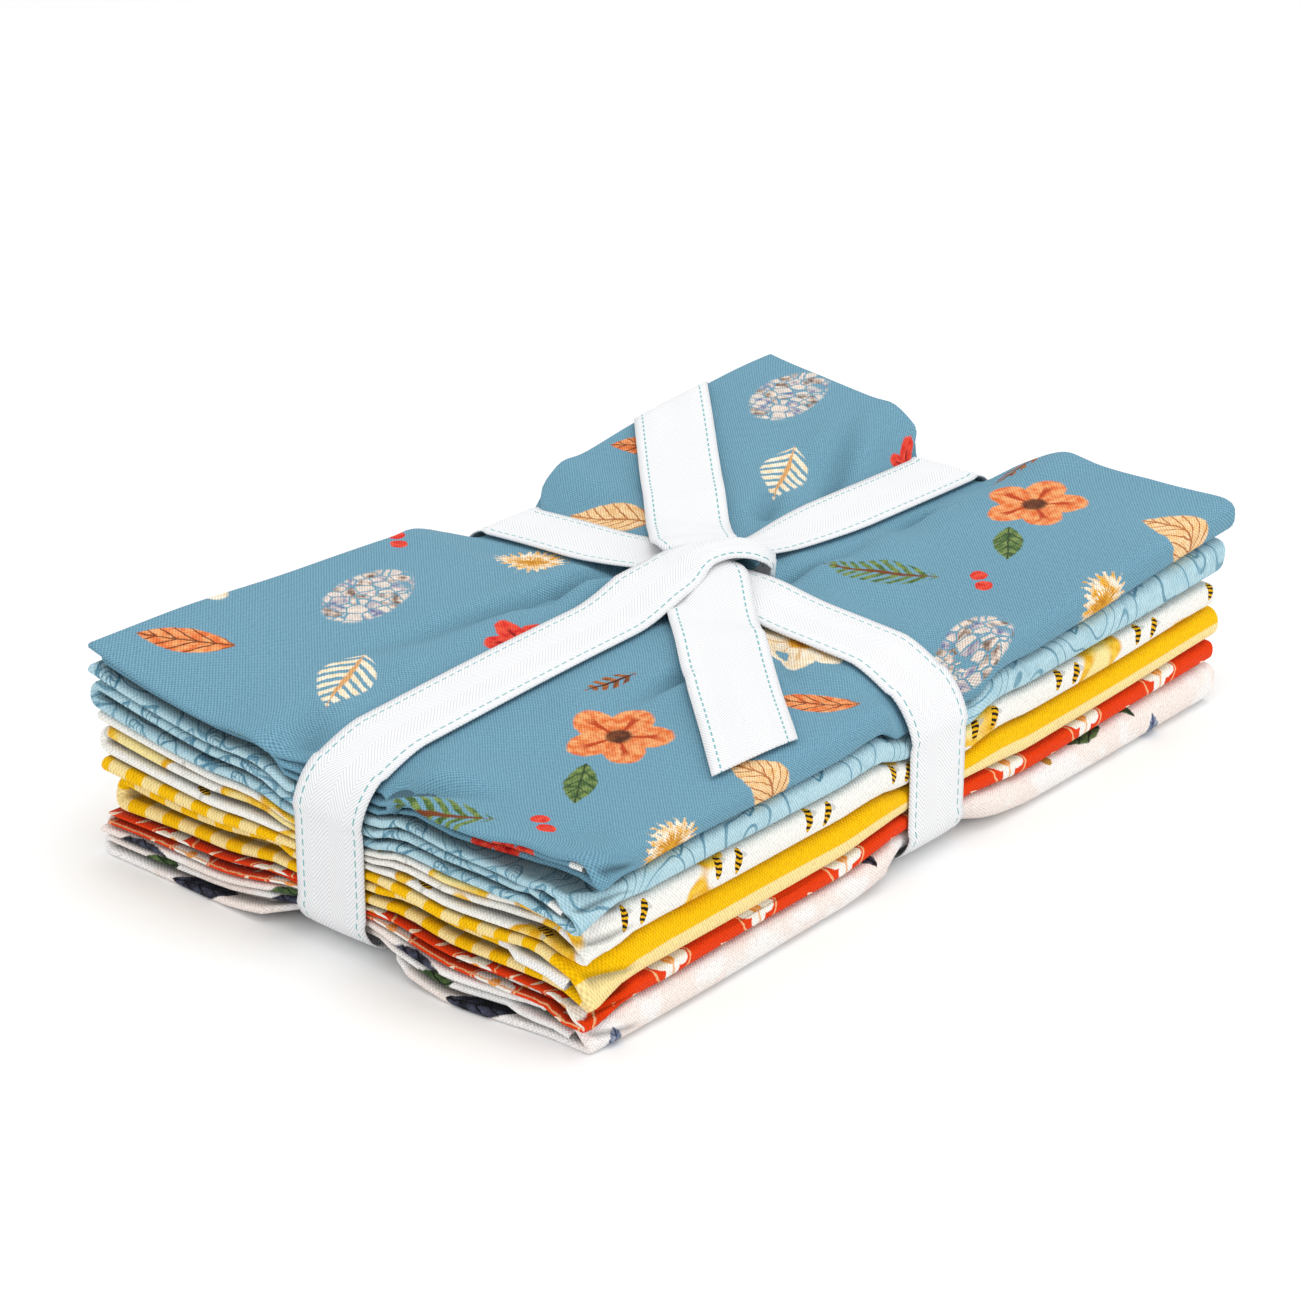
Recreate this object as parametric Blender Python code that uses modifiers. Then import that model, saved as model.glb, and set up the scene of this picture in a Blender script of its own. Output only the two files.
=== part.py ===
"""Fabric bundle: six folded cuts of printed cloth in a stack, tied crosswise with one ribbon.

Lengths are in metres. +Z is up, the long side of the stack runs along X, and the stack
rests on z = 0. The four corners of the stack are called near (-X, -Y), left (-X, +Y),
back (+X, +Y) and right (+X, -Y).
"""
import math

import bmesh
import bpy
import numpy as np

MM = 0.001

# Driving dimensions of the stack
LENGTH = 292 * MM
WIDTH = 183 * MM
PACKET_GAP = 0.9 * MM            # air between one folded cut and the next
STACK_AT = (-2.05 * MM, -2.15 * MM)  # its middle; the tail that overhangs it centres the whole

# The ribbon and the two lines that it follows round the stack
RIBBON_WIDTH = 25.4 * MM
RIBBON_THICKNESS = 1.0 * MM
RIBBON_CLEARANCE = 0.8 * MM      # from the cloth to the ribbon's near face
BEND_EASE = 0.8 * MM             # and a little more where it turns over an edge
BAND_ALONG_X_AT = 2 * MM         # the Y place of the band that runs along X
BAND_ALONG_Y_AT = 8 * MM         # the X place of the band that runs along Y
SLANT_ALONG_X = 0.02             # the bands are not quite square to the stack
SLANT_ALONG_Y = 0.06

# How the tight ribbon shapes the stack
VALLEY_FLOOR = 13 * MM           # half width of the flat floor under the ribbon
VALLEY_FLANK = 24 * MM           # width of the steep slope beside it
VALLEY_APRON = 120 * MM          # and of the gentle one that takes the cloth to its full height
APRON_SHARE = (0.5, 0.25)        # how much of the rise is the gentle slope's, at -X and at +X
LIFT_FLANK = 33 * MM             # width of the slope on which the underside is lifted
PINCH_FLANK = 14 * MM            # and of the one on which the ends and sides are drawn in
PINCH_ENDS = (0.3 * MM, 5 * MM)  # how far the ribbon draws in the stack at -X and at +X
PINCH_SIDES = (2 * MM, 3.5 * MM)  # and at -Y and at +Y
DROOP_REACH = 24 * MM            # the near end and side slope down to the ribbon's bend from here
DROOP_POWER = 1.4                # 1 is an even slope, more bends down later
DROOP_OF_END = 0.7               # how much the end at -X droops, over the side at -Y
BEND_UNDER_RIBBON = 9 * MM       # radius that the ribbon gives the stack's top and bottom edges
BEND_OF_SIDES = 2 * MM           # and the radius of those edges elsewhere, on the Y sides

# How quickly the layers come out to their places at the ends and sides, as powers of the
# distance from the middle
END_POWER = 10
SIDE_POWER = 8
PAST_THE_EDGE = 1.05             # the heights run on this far past the plan's edge

# One row for each folded cut, from the bottom up, in millimetres: the cut's height in the
# four quarters, at the ribbon on each face and in the middle, how far it droops to the
# ribbon's bends at -X and -Y, and how far it stands out at each face.
COLUMNS = ("name", "near", "left", "back", "right",
           "end_near", "end_far", "side_near", "side_far", "middle",
           "droop", "out_x_minus", "out_x_plus", "out_y_minus", "out_y_plus")
CUTS = (
    ("cloth_blush", 9.7, 8.0, 12.9, 13.6, 9.8, 9.4, 10.0, 7.8, 7.6, 0.8, 2.5, 0.0, 1.5, 0.0),
    ("cloth_red", 5.5, 4.2, 7.1, 7.5, 4.2, 5.6, 5.7, 4.6, 4.8, 0.2, 0.5, -0.5, -0.5, -1.5),
    ("cloth_stripe", 13.3, 19.7, 14.9, 11.0, 11.4, 10.6, 9.4, 10.2, 10.3, 1.6, 0.0, 0.5, 0.5, -3.0),
    ("cloth_cream", 10.0, 14.1, 12.9, 8.4, 7.5, 8.5, 9.4, 8.6, 10.1, 1.6, 1.0, -1.5, 0.0, -0.5),
    ("cloth_pale_blue", 7.5, 12.5, 14.5, 13.4, 10.6, 8.8, 7.8, 9.0, 10.9, 2.8, 1.5, 3.5, -0.5, 3.0),
    ("cloth_blue", 9.2, 9.0, 11.8, 13.7, 6.8, 8.5, 9.8, 8.4, 12.5, 4.0, 2.0, 6.5, 0.5, 0.5),
)
CORNER_DROP = {"near": 0.03, "left": 0.0, "back": 0.0, "right": 0.0}

# How far the underside is lifted off the surface at the ribbon, in millimetres
LIFT = {"end_near": 4.0, "end_far": 4.5, "side_near": 3.5, "side_far": 4.0,
        "along": 2.0, "middle": 2.5}

# The fold in three, each third a pad of doubled cloth: how much of the height the pads
# fill, the thickest that they get, and how far the flap inside stops short of the outer fold
FILL = 0.74
THICKEST = 3.0 * MM
INNER_FLAP_SHORT = 13 * MM
OUTER_FOLD_WIDTH = 0.9           # width of the outer fold over its half height
INNER_FOLD_WIDTH = 1.15
RIM_ROUND = (0.45, 0.85, 1.0)    # the pads thin out in their last rows at the X ends
TYPICAL_PLACE = -50 * MM         # the Y place whose height sets the size of the folds
TOP_EDGE_INSET = 0.5 * MM        # from the free edge of the top third to the side

# Where the rows of points lie: on the slopes beside the ribbon, of which the upper cuts have
# the steeper, and back from the ends and sides of the stack
SLOPE_ROWS = (0 * MM, 13 * MM, 33 * MM)
SLOPE_ROWS_FINE = (0 * MM, 8 * MM, 18 * MM, 33 * MM)
END_ROWS = (0.0 * MM, 1.2 * MM, 9 * MM, 38 * MM)
SIDE_ROWS = (20 * MM,)
CLEAR_OF_TURN = 4 * MM           # no row is nearer than this to a fold

# The knot, the tails and where they end, in plan
KNOT_HEIGHT = 8 * MM
KNOT_RADII = (15 * MM, 12 * MM, 5.5 * MM)
KNOT_TURN = math.radians(40)
KNOT_REACH = 24 * MM             # the bands rise to the knot over this length
KNOT_NECK = 13 * MM              # width of the gathered ribbon inside the knot
BAND_RISE = 0.5                  # how far a band climbs there, over the knot's height
UPPER_BAND_RISE = 1.2            # the band along Y rises this much more than the other
CROSSING_DIP = 0.7 * MM          # and under the stack it passes below the other
BAND_PLACES = (1.5, 7, 13, 20, 30, 48, 72, 100, 122, 133)  # along a band from the knot, in mm
BEND_STEPS = 4                   # steps of a band's turn over an edge
FACE_PLACES = (0.0, 0.33, 0.67, 1.0)  # and its places down a face
TAIL_RISE = 1.6                  # a tail's rise to the knot, over a band's
TAIL_OVER_BAND = 1.2 * MM        # how far it lies above the bands there
TAIL_BEND = 7 * MM               # radius of a tail's bend over the side of the stack
TAIL_PLACES = (0, 0.08, 0.16, 0.25, 0.35, 0.48, 0.62, 0.76, 0.86, 0.91, 0.95, 1)  # along a tail
TAILS = (
    ("tail_front", (-71 * MM, -84.2 * MM), -9 * MM),
    ("tail_back", (114 * MM, 104 * MM), -10 * MM),
)

# Material colours, roughness
FINISH = {
    "cloth_blush": ((0.88, 0.80, 0.75), 0.9),
    "cloth_red": ((0.74, 0.07, 0.01), 0.85),
    "cloth_stripe": ((0.78, 0.45, 0.02), 0.85),
    "cloth_cream": ((0.90, 0.88, 0.80), 0.9),
    "cloth_pale_blue": ((0.45, 0.66, 0.74), 0.85),
    "cloth_blue": ((0.14, 0.32, 0.42), 0.85),
    "ribbon": ((0.90, 0.91, 0.91), 0.75),
}

HALF_LENGTH = LENGTH / 2
HALF_WIDTH = WIDTH / 2


def smooth_step(value):
    """0 below 0, 1 above 1 and smooth between."""
    value = np.clip(value, 0.0, 1.0)
    return value * value * (3 - 2 * value)


def nearness(distance, width):
    """1 on the floor of the ribbon's valley, 0 past a slope of this width beside it."""
    return 1 - smooth_step((np.abs(distance) - VALLEY_FLOOR) / width)


def near_bands(p, q, width):
    """How near each point of the plan is to the band along X, and to the one along Y."""
    return nearness(q - BAND_ALONG_X_AT, width), nearness(p - BAND_ALONG_Y_AT, width)


def under_bands(p, q):
    """How much the band along X, and the one along Y, holds the cloth down at each point."""
    apron = np.interp(p, (-HALF_LENGTH, HALF_LENGTH), APRON_SHARE)
    pressed = []
    for distance in (q - BAND_ALONG_X_AT, p - BAND_ALONG_Y_AT):
        pressed.append((1 - apron) * nearness(distance, VALLEY_FLANK)
                       + apron * nearness(distance, VALLEY_APRON))
    return pressed


def between_ends(t, low, middle, high, power):
    """A value along a band: the middle one, bent towards the one at the end that it nears."""
    end = np.where(t < 0, low, high)
    return middle + (end - middle) * np.abs(t) ** power


def droop(p, q):
    """How much the ribbon bends down the end at -X and the side at -Y, 0 to 1."""
    on_x, on_y = near_bands(p, q, PINCH_FLANK)
    past_x = np.clip((-p - HALF_LENGTH) / DROOP_REACH + 1, 0, 1) ** DROOP_POWER
    past_y = np.clip((-q - HALF_WIDTH) / DROOP_REACH + 1, 0, 1) ** DROOP_POWER
    return DROOP_OF_END * on_x * past_x + on_y * past_y


def cut_height(cut, p, q):
    """Height of one folded cut at points of the plan."""
    u = np.clip(p / HALF_LENGTH, -PAST_THE_EDGE, PAST_THE_EDGE)
    v = np.clip(q / HALF_WIDTH, -PAST_THE_EDGE, PAST_THE_EDGE)
    far_x, far_y = ((1 + u) / 2) ** 2, ((1 + v) / 2) ** 2
    weights = {"near": (1 - far_x) * (1 - far_y), "left": (1 - far_x) * far_y,
               "back": far_x * far_y, "right": far_x * (1 - far_y)}
    quarter = sum(weights[corner] * cut[corner] for corner in weights)
    drop = sum(weights[corner] * CORNER_DROP[corner] for corner in weights)
    quarter = quarter * (1 - drop * np.abs(u * v) ** 3)
    along_x = between_ends(u, cut["end_near"], cut["middle"], cut["end_far"], 2)
    along_y = between_ends(v, cut["side_near"], cut["middle"], cut["side_far"], 2)
    on_x, on_y = under_bands(p, q)
    return MM * ((1 - on_x) * (1 - on_y) * quarter + on_x * (1 - on_y) * along_x
                 + on_y * (1 - on_x) * along_y + on_x * on_y * cut["middle"]
                 - droop(p, q) * cut["droop"])


def pad_thickness(cut, p, q):
    """Thickness of one third of the folded cut."""
    return np.minimum(FILL * (cut_height(cut, p, q) - PACKET_GAP) / 3, THICKEST)


def underside(p, q):
    """Height of the stack's underside: zero, but for the lift at the ribbon."""
    u = np.clip(p / HALF_LENGTH, -1.0, 1.0)
    v = np.clip(q / HALF_WIDTH, -1.0, 1.0)
    along_x = between_ends(u, LIFT["end_near"], LIFT["along"], LIFT["end_far"], 4)
    along_y = between_ends(v, LIFT["side_near"], LIFT["along"], LIFT["side_far"], 4)
    on_x, on_y = near_bands(p, q, LIFT_FLANK)
    return MM * (on_x * (1 - on_y) * along_x + on_y * (1 - on_x) * along_y
                 + on_x * on_y * LIFT["middle"])


def level(number, p, q):
    """Height of the surface under cut `number`; past the last cut it is the stack's top."""
    z = underside(p, q)
    for values in CUTS[:number]:
        z = z + cut_height(dict(zip(COLUMNS, values)), p, q)
    return z


def rounding(z, low, high, radius):
    """How far a point at height z stands back where the edges at low and high are rounded."""
    radius = np.maximum(radius, 1e-6)
    over = np.maximum(z - (high - radius), (low + radius) - z)
    share = np.clip(over / radius, 0, 1)
    return radius * (1 - np.sqrt(1 - share ** 2))


def in_plan(p, q):
    """From the square plan to the real one, in which the bands run a little aslant."""
    x = p + SLANT_ALONG_Y * q * np.clip(1 - (p / HALF_LENGTH) ** 2, 0, 1)
    y = q + SLANT_ALONG_X * p * np.clip(1 - (q / HALF_WIDTH) ** 2, 0, 1)
    return x, y


def in_square_plan(x, y):
    """The other way, from the real plan to the square one."""
    p, q = x, y
    for _ in range(6):
        p = x - SLANT_ALONG_Y * q * np.clip(1 - (p / HALF_LENGTH) ** 2, 0, 1)
        q = y - SLANT_ALONG_X * p * np.clip(1 - (q / HALF_WIDTH) ** 2, 0, 1)
    return p, q


def place(number, p, q, share):
    """A point of cut `number`, from its plan place and its share of that cut's height."""
    cut = dict(zip(COLUMNS, CUTS[number]))
    on_x, on_y = near_bands(p, q, PINCH_FLANK)
    low, high = level(0, p, q), level(len(CUTS), p, q)
    bottom = level(number, p, q)
    z = bottom + share * cut_height(cut, p, q)
    out_x = np.where(p < 0, cut["out_x_minus"], cut["out_x_plus"]) * MM
    out_y = np.where(q < 0, cut["out_y_minus"], cut["out_y_plus"]) * MM
    pinch_x, pinch_y = np.where(p < 0, *PINCH_ENDS), np.where(q < 0, *PINCH_SIDES)
    half_pad = pad_thickness(cut, p, q) / 2
    bend_y = BEND_OF_SIDES + (BEND_UNDER_RIBBON - BEND_OF_SIDES) * on_y
    back_x = rounding(z, low + half_pad, high - half_pad, BEND_UNDER_RIBBON * on_x)
    back_y = rounding(z, low + half_pad, high - half_pad, bend_y)
    move_x = (1 - on_x) * out_x - on_x * pinch_x - back_x
    move_y = (1 - on_y) * out_y - on_y * pinch_y - back_y
    near_end = np.abs(p / HALF_LENGTH) ** END_POWER
    near_side = np.abs(q / HALF_WIDTH) ** SIDE_POWER
    moved_p = p + np.sign(p) * near_end * move_x
    moved_q = q + np.sign(q) * near_side * move_y
    z = level(number, moved_p, moved_q) + share * cut_height(cut, moved_p, moved_q)
    x, y = in_plan(moved_p, moved_q)
    return x, y, z


def stations(band_at, half, ends, slope):
    """Places for rows of points: close together on the slopes of the ribbon's valley."""
    beside = [VALLEY_FLOOR + d for d in slope]
    places = [band_at] + [band_at + side * d for side in (-1, 1) for d in beside]
    places += [side * (half - inset) for side in (-1, 1) for inset in ends]
    return sorted(places)


def fold_route(height, pad, slope):
    """The cloth's run in the section: (q place, side of the middle) from flap to flap.

    The inner flap starts near -Y, runs to the fold at +Y, back along the bottom to the
    outer fold at -Y, and over the top to the free edge at +Y.
    """
    turn = (height - pad - PACKET_GAP) / 2
    flats = stations(BAND_ALONG_X_AT, HALF_WIDTH, SIDE_ROWS, slope)
    run = []
    edge = HALF_WIDTH - pad / 2
    inner_start = -HALF_WIDTH + INNER_FLAP_SHORT
    far_turn = edge - turn / 2 * INNER_FOLD_WIDTH
    near_turn = -edge + turn * OUTER_FOLD_WIDTH
    inside = stations(BAND_ALONG_X_AT, HALF_WIDTH, SIDE_ROWS, slope[::2])
    middle = [q for q in inside if q != BAND_ALONG_X_AT
              and inner_start + CLEAR_OF_TURN < q < far_turn - CLEAR_OF_TURN]
    run += [(q, 0.0) for q in [inner_start] + middle + [far_turn]]
    for step in range(1, 4):
        angle = math.pi * step / 4
        run.append((far_turn + turn / 2 * INNER_FOLD_WIDTH * math.sin(angle),
                    -0.5 + 0.5 * math.cos(angle)))
    middle = [q for q in flats if near_turn + CLEAR_OF_TURN < q < far_turn - CLEAR_OF_TURN]
    run += [(q, -1.0) for q in [far_turn] + middle[::-1] + [near_turn]]
    for step in range(1, 5):
        angle = math.pi * step / 5
        run.append((near_turn - turn * OUTER_FOLD_WIDTH * math.sin(angle), -math.cos(angle)))
    middle = [q for q in flats if near_turn + CLEAR_OF_TURN < q]
    run += [(q, 1.0) for q in [near_turn] + middle + [HALF_WIDTH - TOP_EDGE_INSET]]
    return run


def new_material(name):
    """A cloth finish: colour and roughness."""
    colour, roughness = FINISH[name]
    material = bpy.data.materials.new(name)
    material.use_nodes = True
    shader = material.node_tree.nodes["Principled BSDF"]
    shader.inputs["Base Color"].default_value = (*colour, 1.0)
    shader.inputs["Roughness"].default_value = roughness
    shader.inputs["Metallic"].default_value = 0.0
    return material


def sheet_object(name, points, thickness, collection):
    """An object from a grid of points, made solid by its thickness.

    points has the shape (rows, columns, 3). The thickness is one number, or one for each
    point.
    """
    rows, columns = points.shape[:2]
    mesh = bpy.data.meshes.new(name)
    grid = bmesh.new()
    bmesh.ops.create_grid(grid, x_segments=rows - 1, y_segments=columns - 1, size=0.5)
    spots = []
    for vertex in grid.verts:
        i = round((vertex.co.x + 0.5) * (rows - 1))
        j = round((vertex.co.y + 0.5) * (columns - 1))
        spots.append((i, j))
        vertex.co = points[i, j]
    grid.to_mesh(mesh)
    grid.free()
    obj = bpy.data.objects.new(name, mesh)
    collection.objects.link(obj)
    split = obj.modifiers.new("like diagonals", "TRIANGULATE")
    split.quad_method = "SHORTEST_DIAGONAL"
    solid = obj.modifiers.new("thickness", "SOLIDIFY")
    solid.thickness = float(np.max(thickness))
    solid.offset = 0.0
    if np.ndim(thickness) == 2:
        group = obj.vertex_groups.new(name="share of the full thickness")
        for index, spot in enumerate(spots):
            group.add([index], float(thickness[spot]) / solid.thickness, "REPLACE")
        solid.vertex_group = group.name
        solid.thickness_vertex_group = 0.0
    return obj


def make_cut(number, collection):
    """One folded cut: the sheet in three, swept along X through the stack's own shape."""
    cut = dict(zip(COLUMNS, CUTS[number]))
    slope = SLOPE_ROWS_FINE if number > 2 else SLOPE_ROWS
    along = np.array(stations(BAND_ALONG_Y_AT, HALF_LENGTH, END_ROWS, slope))
    points, pads = [], []
    for row_number, p in enumerate(along):
        height = float(cut_height(cut, p, TYPICAL_PLACE))
        pad = float(pad_thickness(cut, p, TYPICAL_PLACE))
        route = np.array(fold_route(height, pad, slope))
        q, side = route[:, 0], route[:, 1]
        pad = pad_thickness(cut, p, q)
        spare = (pad + PACKET_GAP) / cut_height(cut, p, q)
        share = 0.5 + 0.5 * side * (1 - spare)
        if number == 0:
            share = share - 0.5 * PACKET_GAP / cut_height(cut, p, q) * (1 - side) / 2
        points.append(np.stack(place(number, np.full_like(q, p), q, share), axis=-1))
        from_end = min(row_number, len(along) - 1 - row_number)
        pads.append(pad * RIM_ROUND[min(from_end, len(RIM_ROUND) - 1)])
    obj = sheet_object(cut["name"], np.array(points), np.array(pads), collection)
    obj.data.shade_smooth()
    obj.data.materials.append(new_material(cut["name"]))
    return obj


def top_at(x, y):
    """Height of the stack's top at a place of the real plan."""
    p, q = in_square_plan(x, y)
    return level(len(CUTS), p, q)


def band_profile(half, pinches, lift_at, top_of, bottom_of):
    """The ribbon's run round the stack, as (place along the band, height), from knot to knot."""
    away = RIBBON_CLEARANCE + RIBBON_THICKNESS / 2
    bend = BEND_UNDER_RIBBON
    arc = bend + away + BEND_EASE
    run = []
    for side, pinch in zip((-1, 1), pinches):
        edge = half - pinch
        flat_end = side * (edge - bend)
        places = [lift_at + side * d * MM for d in BAND_PLACES]
        places = [s for s in places if side * s < edge - bend - CLEAR_OF_TURN] + [flat_end]
        leg = [(s, float(top_of(s)) + away) for s in places]
        high, low = float(top_of(side * edge)), float(bottom_of(side * edge))
        for step in range(1, BEND_STEPS):
            angle = math.pi / 2 * step / BEND_STEPS
            high_here = float(top_of(flat_end + side * bend * math.sin(angle)))
            leg.append((flat_end + side * arc * math.sin(angle),
                        high_here - bend + arc * math.cos(angle)))
        for share in FACE_PLACES:
            leg.append((side * (edge + away), high - bend + share * (low - high + 2 * bend)))
        for step in range(1, BEND_STEPS):
            angle = math.pi / 2 * step / BEND_STEPS
            low_here = float(bottom_of(flat_end + side * bend * math.cos(angle)))
            leg.append((flat_end + side * arc * math.cos(angle),
                        low_here + bend - arc * math.sin(angle)))
        leg += [(s, float(bottom_of(s)) - away) for s in places[::-1]]
        run.append(leg)
    return run[0] + run[1][::-1][1:]


def neck(distance):
    """The ribbon's width near the knot, where it is gathered."""
    share = smooth_step(abs(distance) / KNOT_REACH)
    return KNOT_NECK + (RIBBON_WIDTH - KNOT_NECK) * float(share)


def rise(distance):
    """How far the ribbon climbs off the cloth near the knot."""
    return KNOT_HEIGHT * BAND_RISE * float(1 - smooth_step(abs(distance) / KNOT_REACH))


ACROSS = (-1.0, -0.35, 0.35, 1.0)


def make_band(name, along_x, collection):
    """One band of the ribbon, from the knot round the stack and back to the knot."""
    if along_x:
        half, pinches, cross_at, start = HALF_LENGTH, PINCH_ENDS, BAND_ALONG_X_AT, BAND_ALONG_Y_AT
    else:
        half, pinches, cross_at, start = HALF_WIDTH, PINCH_SIDES, BAND_ALONG_Y_AT, BAND_ALONG_X_AT

    def plan(s, across):
        return (s, cross_at + across) if along_x else (cross_at + across, s)

    profile = band_profile(half, pinches, start,
                           lambda s: level(len(CUTS), *plan(s, 0.0)),
                           lambda s: level(0, *plan(s, 0.0)))
    count = len(profile)
    points = []
    for index, (s, z) in enumerate(profile):
        on_top = index < count // 4 or index > count - count // 4
        width = neck(s - start) if on_top else RIBBON_WIDTH
        lift = rise(s - start) if on_top else 0.0
        if on_top and not along_x:
            lift = lift * UPPER_BAND_RISE
        if not on_top and not along_x:
            lift = -CROSSING_DIP * float(1 - smooth_step(abs(s - start) / (2 * KNOT_REACH)))
        line = []
        for share in ACROSS:
            p, q = plan(s, share * width / 2)
            x, y = in_plan(p, q)
            line.append((float(x), float(y), z + lift))
        points.append(line)
    return sheet_object(name, np.array(points), RIBBON_THICKNESS, collection)


def over_edge(q):
    """Where a tail is led from a flat place q past the far side: its real place and its drop."""
    edge = HALF_WIDTH - BEND_OF_SIDES
    past = max(q - edge, 0.0)
    turn = min(past / TAIL_BEND, math.pi / 2)
    hang = past - TAIL_BEND * turn
    return min(q, edge) + TAIL_BEND * math.sin(turn), TAIL_BEND * (1 - math.cos(turn)) + hang


def make_tail(name, end, cut_slant, collection):
    """A free end of the ribbon, from the knot to its oblique cut."""
    start = np.array(in_plan(BAND_ALONG_Y_AT, BAND_ALONG_X_AT))
    run = np.array(end) - start
    reach = float(np.linalg.norm(run))
    ahead = run / reach
    sideways = np.array((-ahead[1], ahead[0]))
    away = RIBBON_CLEARANCE + RIBBON_THICKNESS
    points = []
    for share in TAIL_PLACES:
        line = []
        for across in ACROSS:
            along = share * (reach + cut_slant * across)
            spot = start + ahead * along + sideways * across * neck(along) / 2
            p, q = in_square_plan(*spot)
            inside = min(q, HALF_WIDTH - BEND_OF_SIDES)
            q, drop = over_edge(q)
            x, y = in_plan(p, q)
            over = TAIL_OVER_BAND * float(1 - smooth_step(along / (1.5 * KNOT_REACH)))
            z = float(level(len(CUTS), p, inside)) + away - drop + rise(along) * TAIL_RISE
            line.append((x, y, z + over))
        points.append(line)
    return sheet_object(name, np.array(points), RIBBON_THICKNESS, collection)


def make_knot(name, collection):
    """The knot: a lump of gathered ribbon."""
    x, y = in_plan(BAND_ALONG_Y_AT, BAND_ALONG_X_AT)
    base = float(top_at(x, y)) + RIBBON_CLEARANCE
    mesh = bpy.data.meshes.new(name)
    lump = bmesh.new()
    bmesh.ops.create_uvsphere(lump, u_segments=16, v_segments=8, radius=1.0)
    for vertex in lump.verts:
        vertex.co = [part * radius for part, radius in zip(vertex.co, KNOT_RADII)]
    lump.to_mesh(mesh)
    lump.free()
    core = bpy.data.objects.new(name, mesh)
    collection.objects.link(core)
    core.location = (float(x), float(y), base + KNOT_RADII[2])
    core.rotation_euler = (0, 0, KNOT_TURN)
    return core


def join_ribbon(pieces, parts, cutters):
    """The ribbon as one solid: the first band, united with everything else."""
    for piece in pieces[1:]:
        cutters.objects.link(piece)
        parts.objects.unlink(piece)
        piece.hide_render = True
        piece.display_type = "WIRE"
        union = pieces[0].modifiers.new(piece.name, "BOOLEAN")
        union.operation = "UNION"
        union.solver = "EXACT"
        union.object = piece
    pieces[0].data.materials.append(new_material("ribbon"))
    return pieces[0]


def main():
    for obj in list(bpy.data.objects):
        bpy.data.objects.remove(obj)
    parts = bpy.data.collections.new("fabric_bundle")
    cutters = bpy.data.collections.new("cutters")
    bpy.context.scene.collection.children.link(parts)
    bpy.context.scene.collection.children.link(cutters)
    for number in range(len(CUTS)):
        make_cut(number, parts)
    pieces = [make_band("ribbon", True, parts), make_band("band_along_y", False, parts),
              make_knot("knot", parts)]
    pieces += [make_tail(name, end, slant, parts) for name, end, slant in TAILS]
    join_ribbon(pieces, parts, cutters)
    for obj in bpy.data.objects:
        obj.location.x += STACK_AT[0]
        obj.location.y += STACK_AT[1]


main()
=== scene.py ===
"""Scene of the fabric bundle: thin printed cloths and a twill ribbon in place of the CAD solids.

The functions that shape the stack are those of the part's source. Lengths are in metres, but for
those in tables, which are in mm. The long side of the stack runs along X, and its four corners
are called near (-X, -Y), left (-X, +Y), back (+X, +Y) and right (+X, -Y). p and q are places in
a square plan, x and y in the real one, where the ribbon's bands run a little aslant.
"""
import math

import bmesh
import bpy
import numpy as np
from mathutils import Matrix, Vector


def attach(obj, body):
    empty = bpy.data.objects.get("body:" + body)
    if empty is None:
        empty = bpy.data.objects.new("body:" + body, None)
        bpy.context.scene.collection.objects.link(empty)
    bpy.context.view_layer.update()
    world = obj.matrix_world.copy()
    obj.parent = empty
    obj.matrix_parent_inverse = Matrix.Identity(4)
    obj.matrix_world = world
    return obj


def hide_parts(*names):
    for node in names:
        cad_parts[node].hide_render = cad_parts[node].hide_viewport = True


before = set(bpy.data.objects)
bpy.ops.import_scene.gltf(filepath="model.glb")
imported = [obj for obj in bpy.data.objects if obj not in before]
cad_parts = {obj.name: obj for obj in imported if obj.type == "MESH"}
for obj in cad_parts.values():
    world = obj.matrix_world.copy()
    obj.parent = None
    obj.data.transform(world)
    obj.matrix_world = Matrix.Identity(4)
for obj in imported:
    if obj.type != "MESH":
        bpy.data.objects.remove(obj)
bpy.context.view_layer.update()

MM = 0.001

# The stack, as in the part's source
HALF_LENGTH, HALF_WIDTH = 292 * MM / 2, 183 * MM / 2
PACKET_GAP = 0.9 * MM
STACK_AT = (-2.05 * MM, -2.15 * MM)
RIBBON_WIDTH = 25.4 * MM
RIBBON_LIES = 0.8 * MM  # height of the ribbon's middle above the cloth
BEND_EASE = 0.8 * MM
BAND_ALONG_X_AT = 2 * MM
BAND_ALONG_Y_AT = 8 * MM
SLANT_ALONG_X = 0.02
SLANT_ALONG_Y = 0.06
VALLEY_FLOOR = 13 * MM  # half width of the flat floor under the ribbon
VALLEY_FLANK = 24 * MM  # width of the steep slope beside it
VALLEY_APRON = 120 * MM  # and of the gentle one that takes the cloth to its full height
APRON_SHARE = (0.5, 0.25)  # how much of the rise is the gentle slope's, at -X and at +X
LIFT_FLANK = 33 * MM  # width of the slope on which the underside is lifted
PINCH_FLANK = 14 * MM  # and of the one on which the ends and sides are drawn in
PINCH_ENDS = (0.3 * MM, 5 * MM)  # how far the ribbon draws in the stack at -X and at +X
PINCH_SIDES = (2 * MM, 3.5 * MM)  # and at -Y and at +Y
DROOP_REACH = 24 * MM  # the near end and side slope down to the ribbon's bend from here
DROOP_POWER = 1.4  # 1 is an even slope, more bends down later
DROOP_OF_END = 0.7  # how much the end at -X droops, over the side at -Y
BEND_UNDER_RIBBON = 9 * MM  # radius that the ribbon gives the stack's top and bottom edges
BEND_OF_SIDES = 2 * MM  # and the radius of those edges elsewhere, on the Y sides
END_POWER = 10  # how quickly the layers come out to their places at the ends
SIDE_POWER = 8  # and sides, as powers of the distance from the middle
PAST_THE_EDGE = 1.05  # the heights run on this far past the plan's edge

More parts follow.
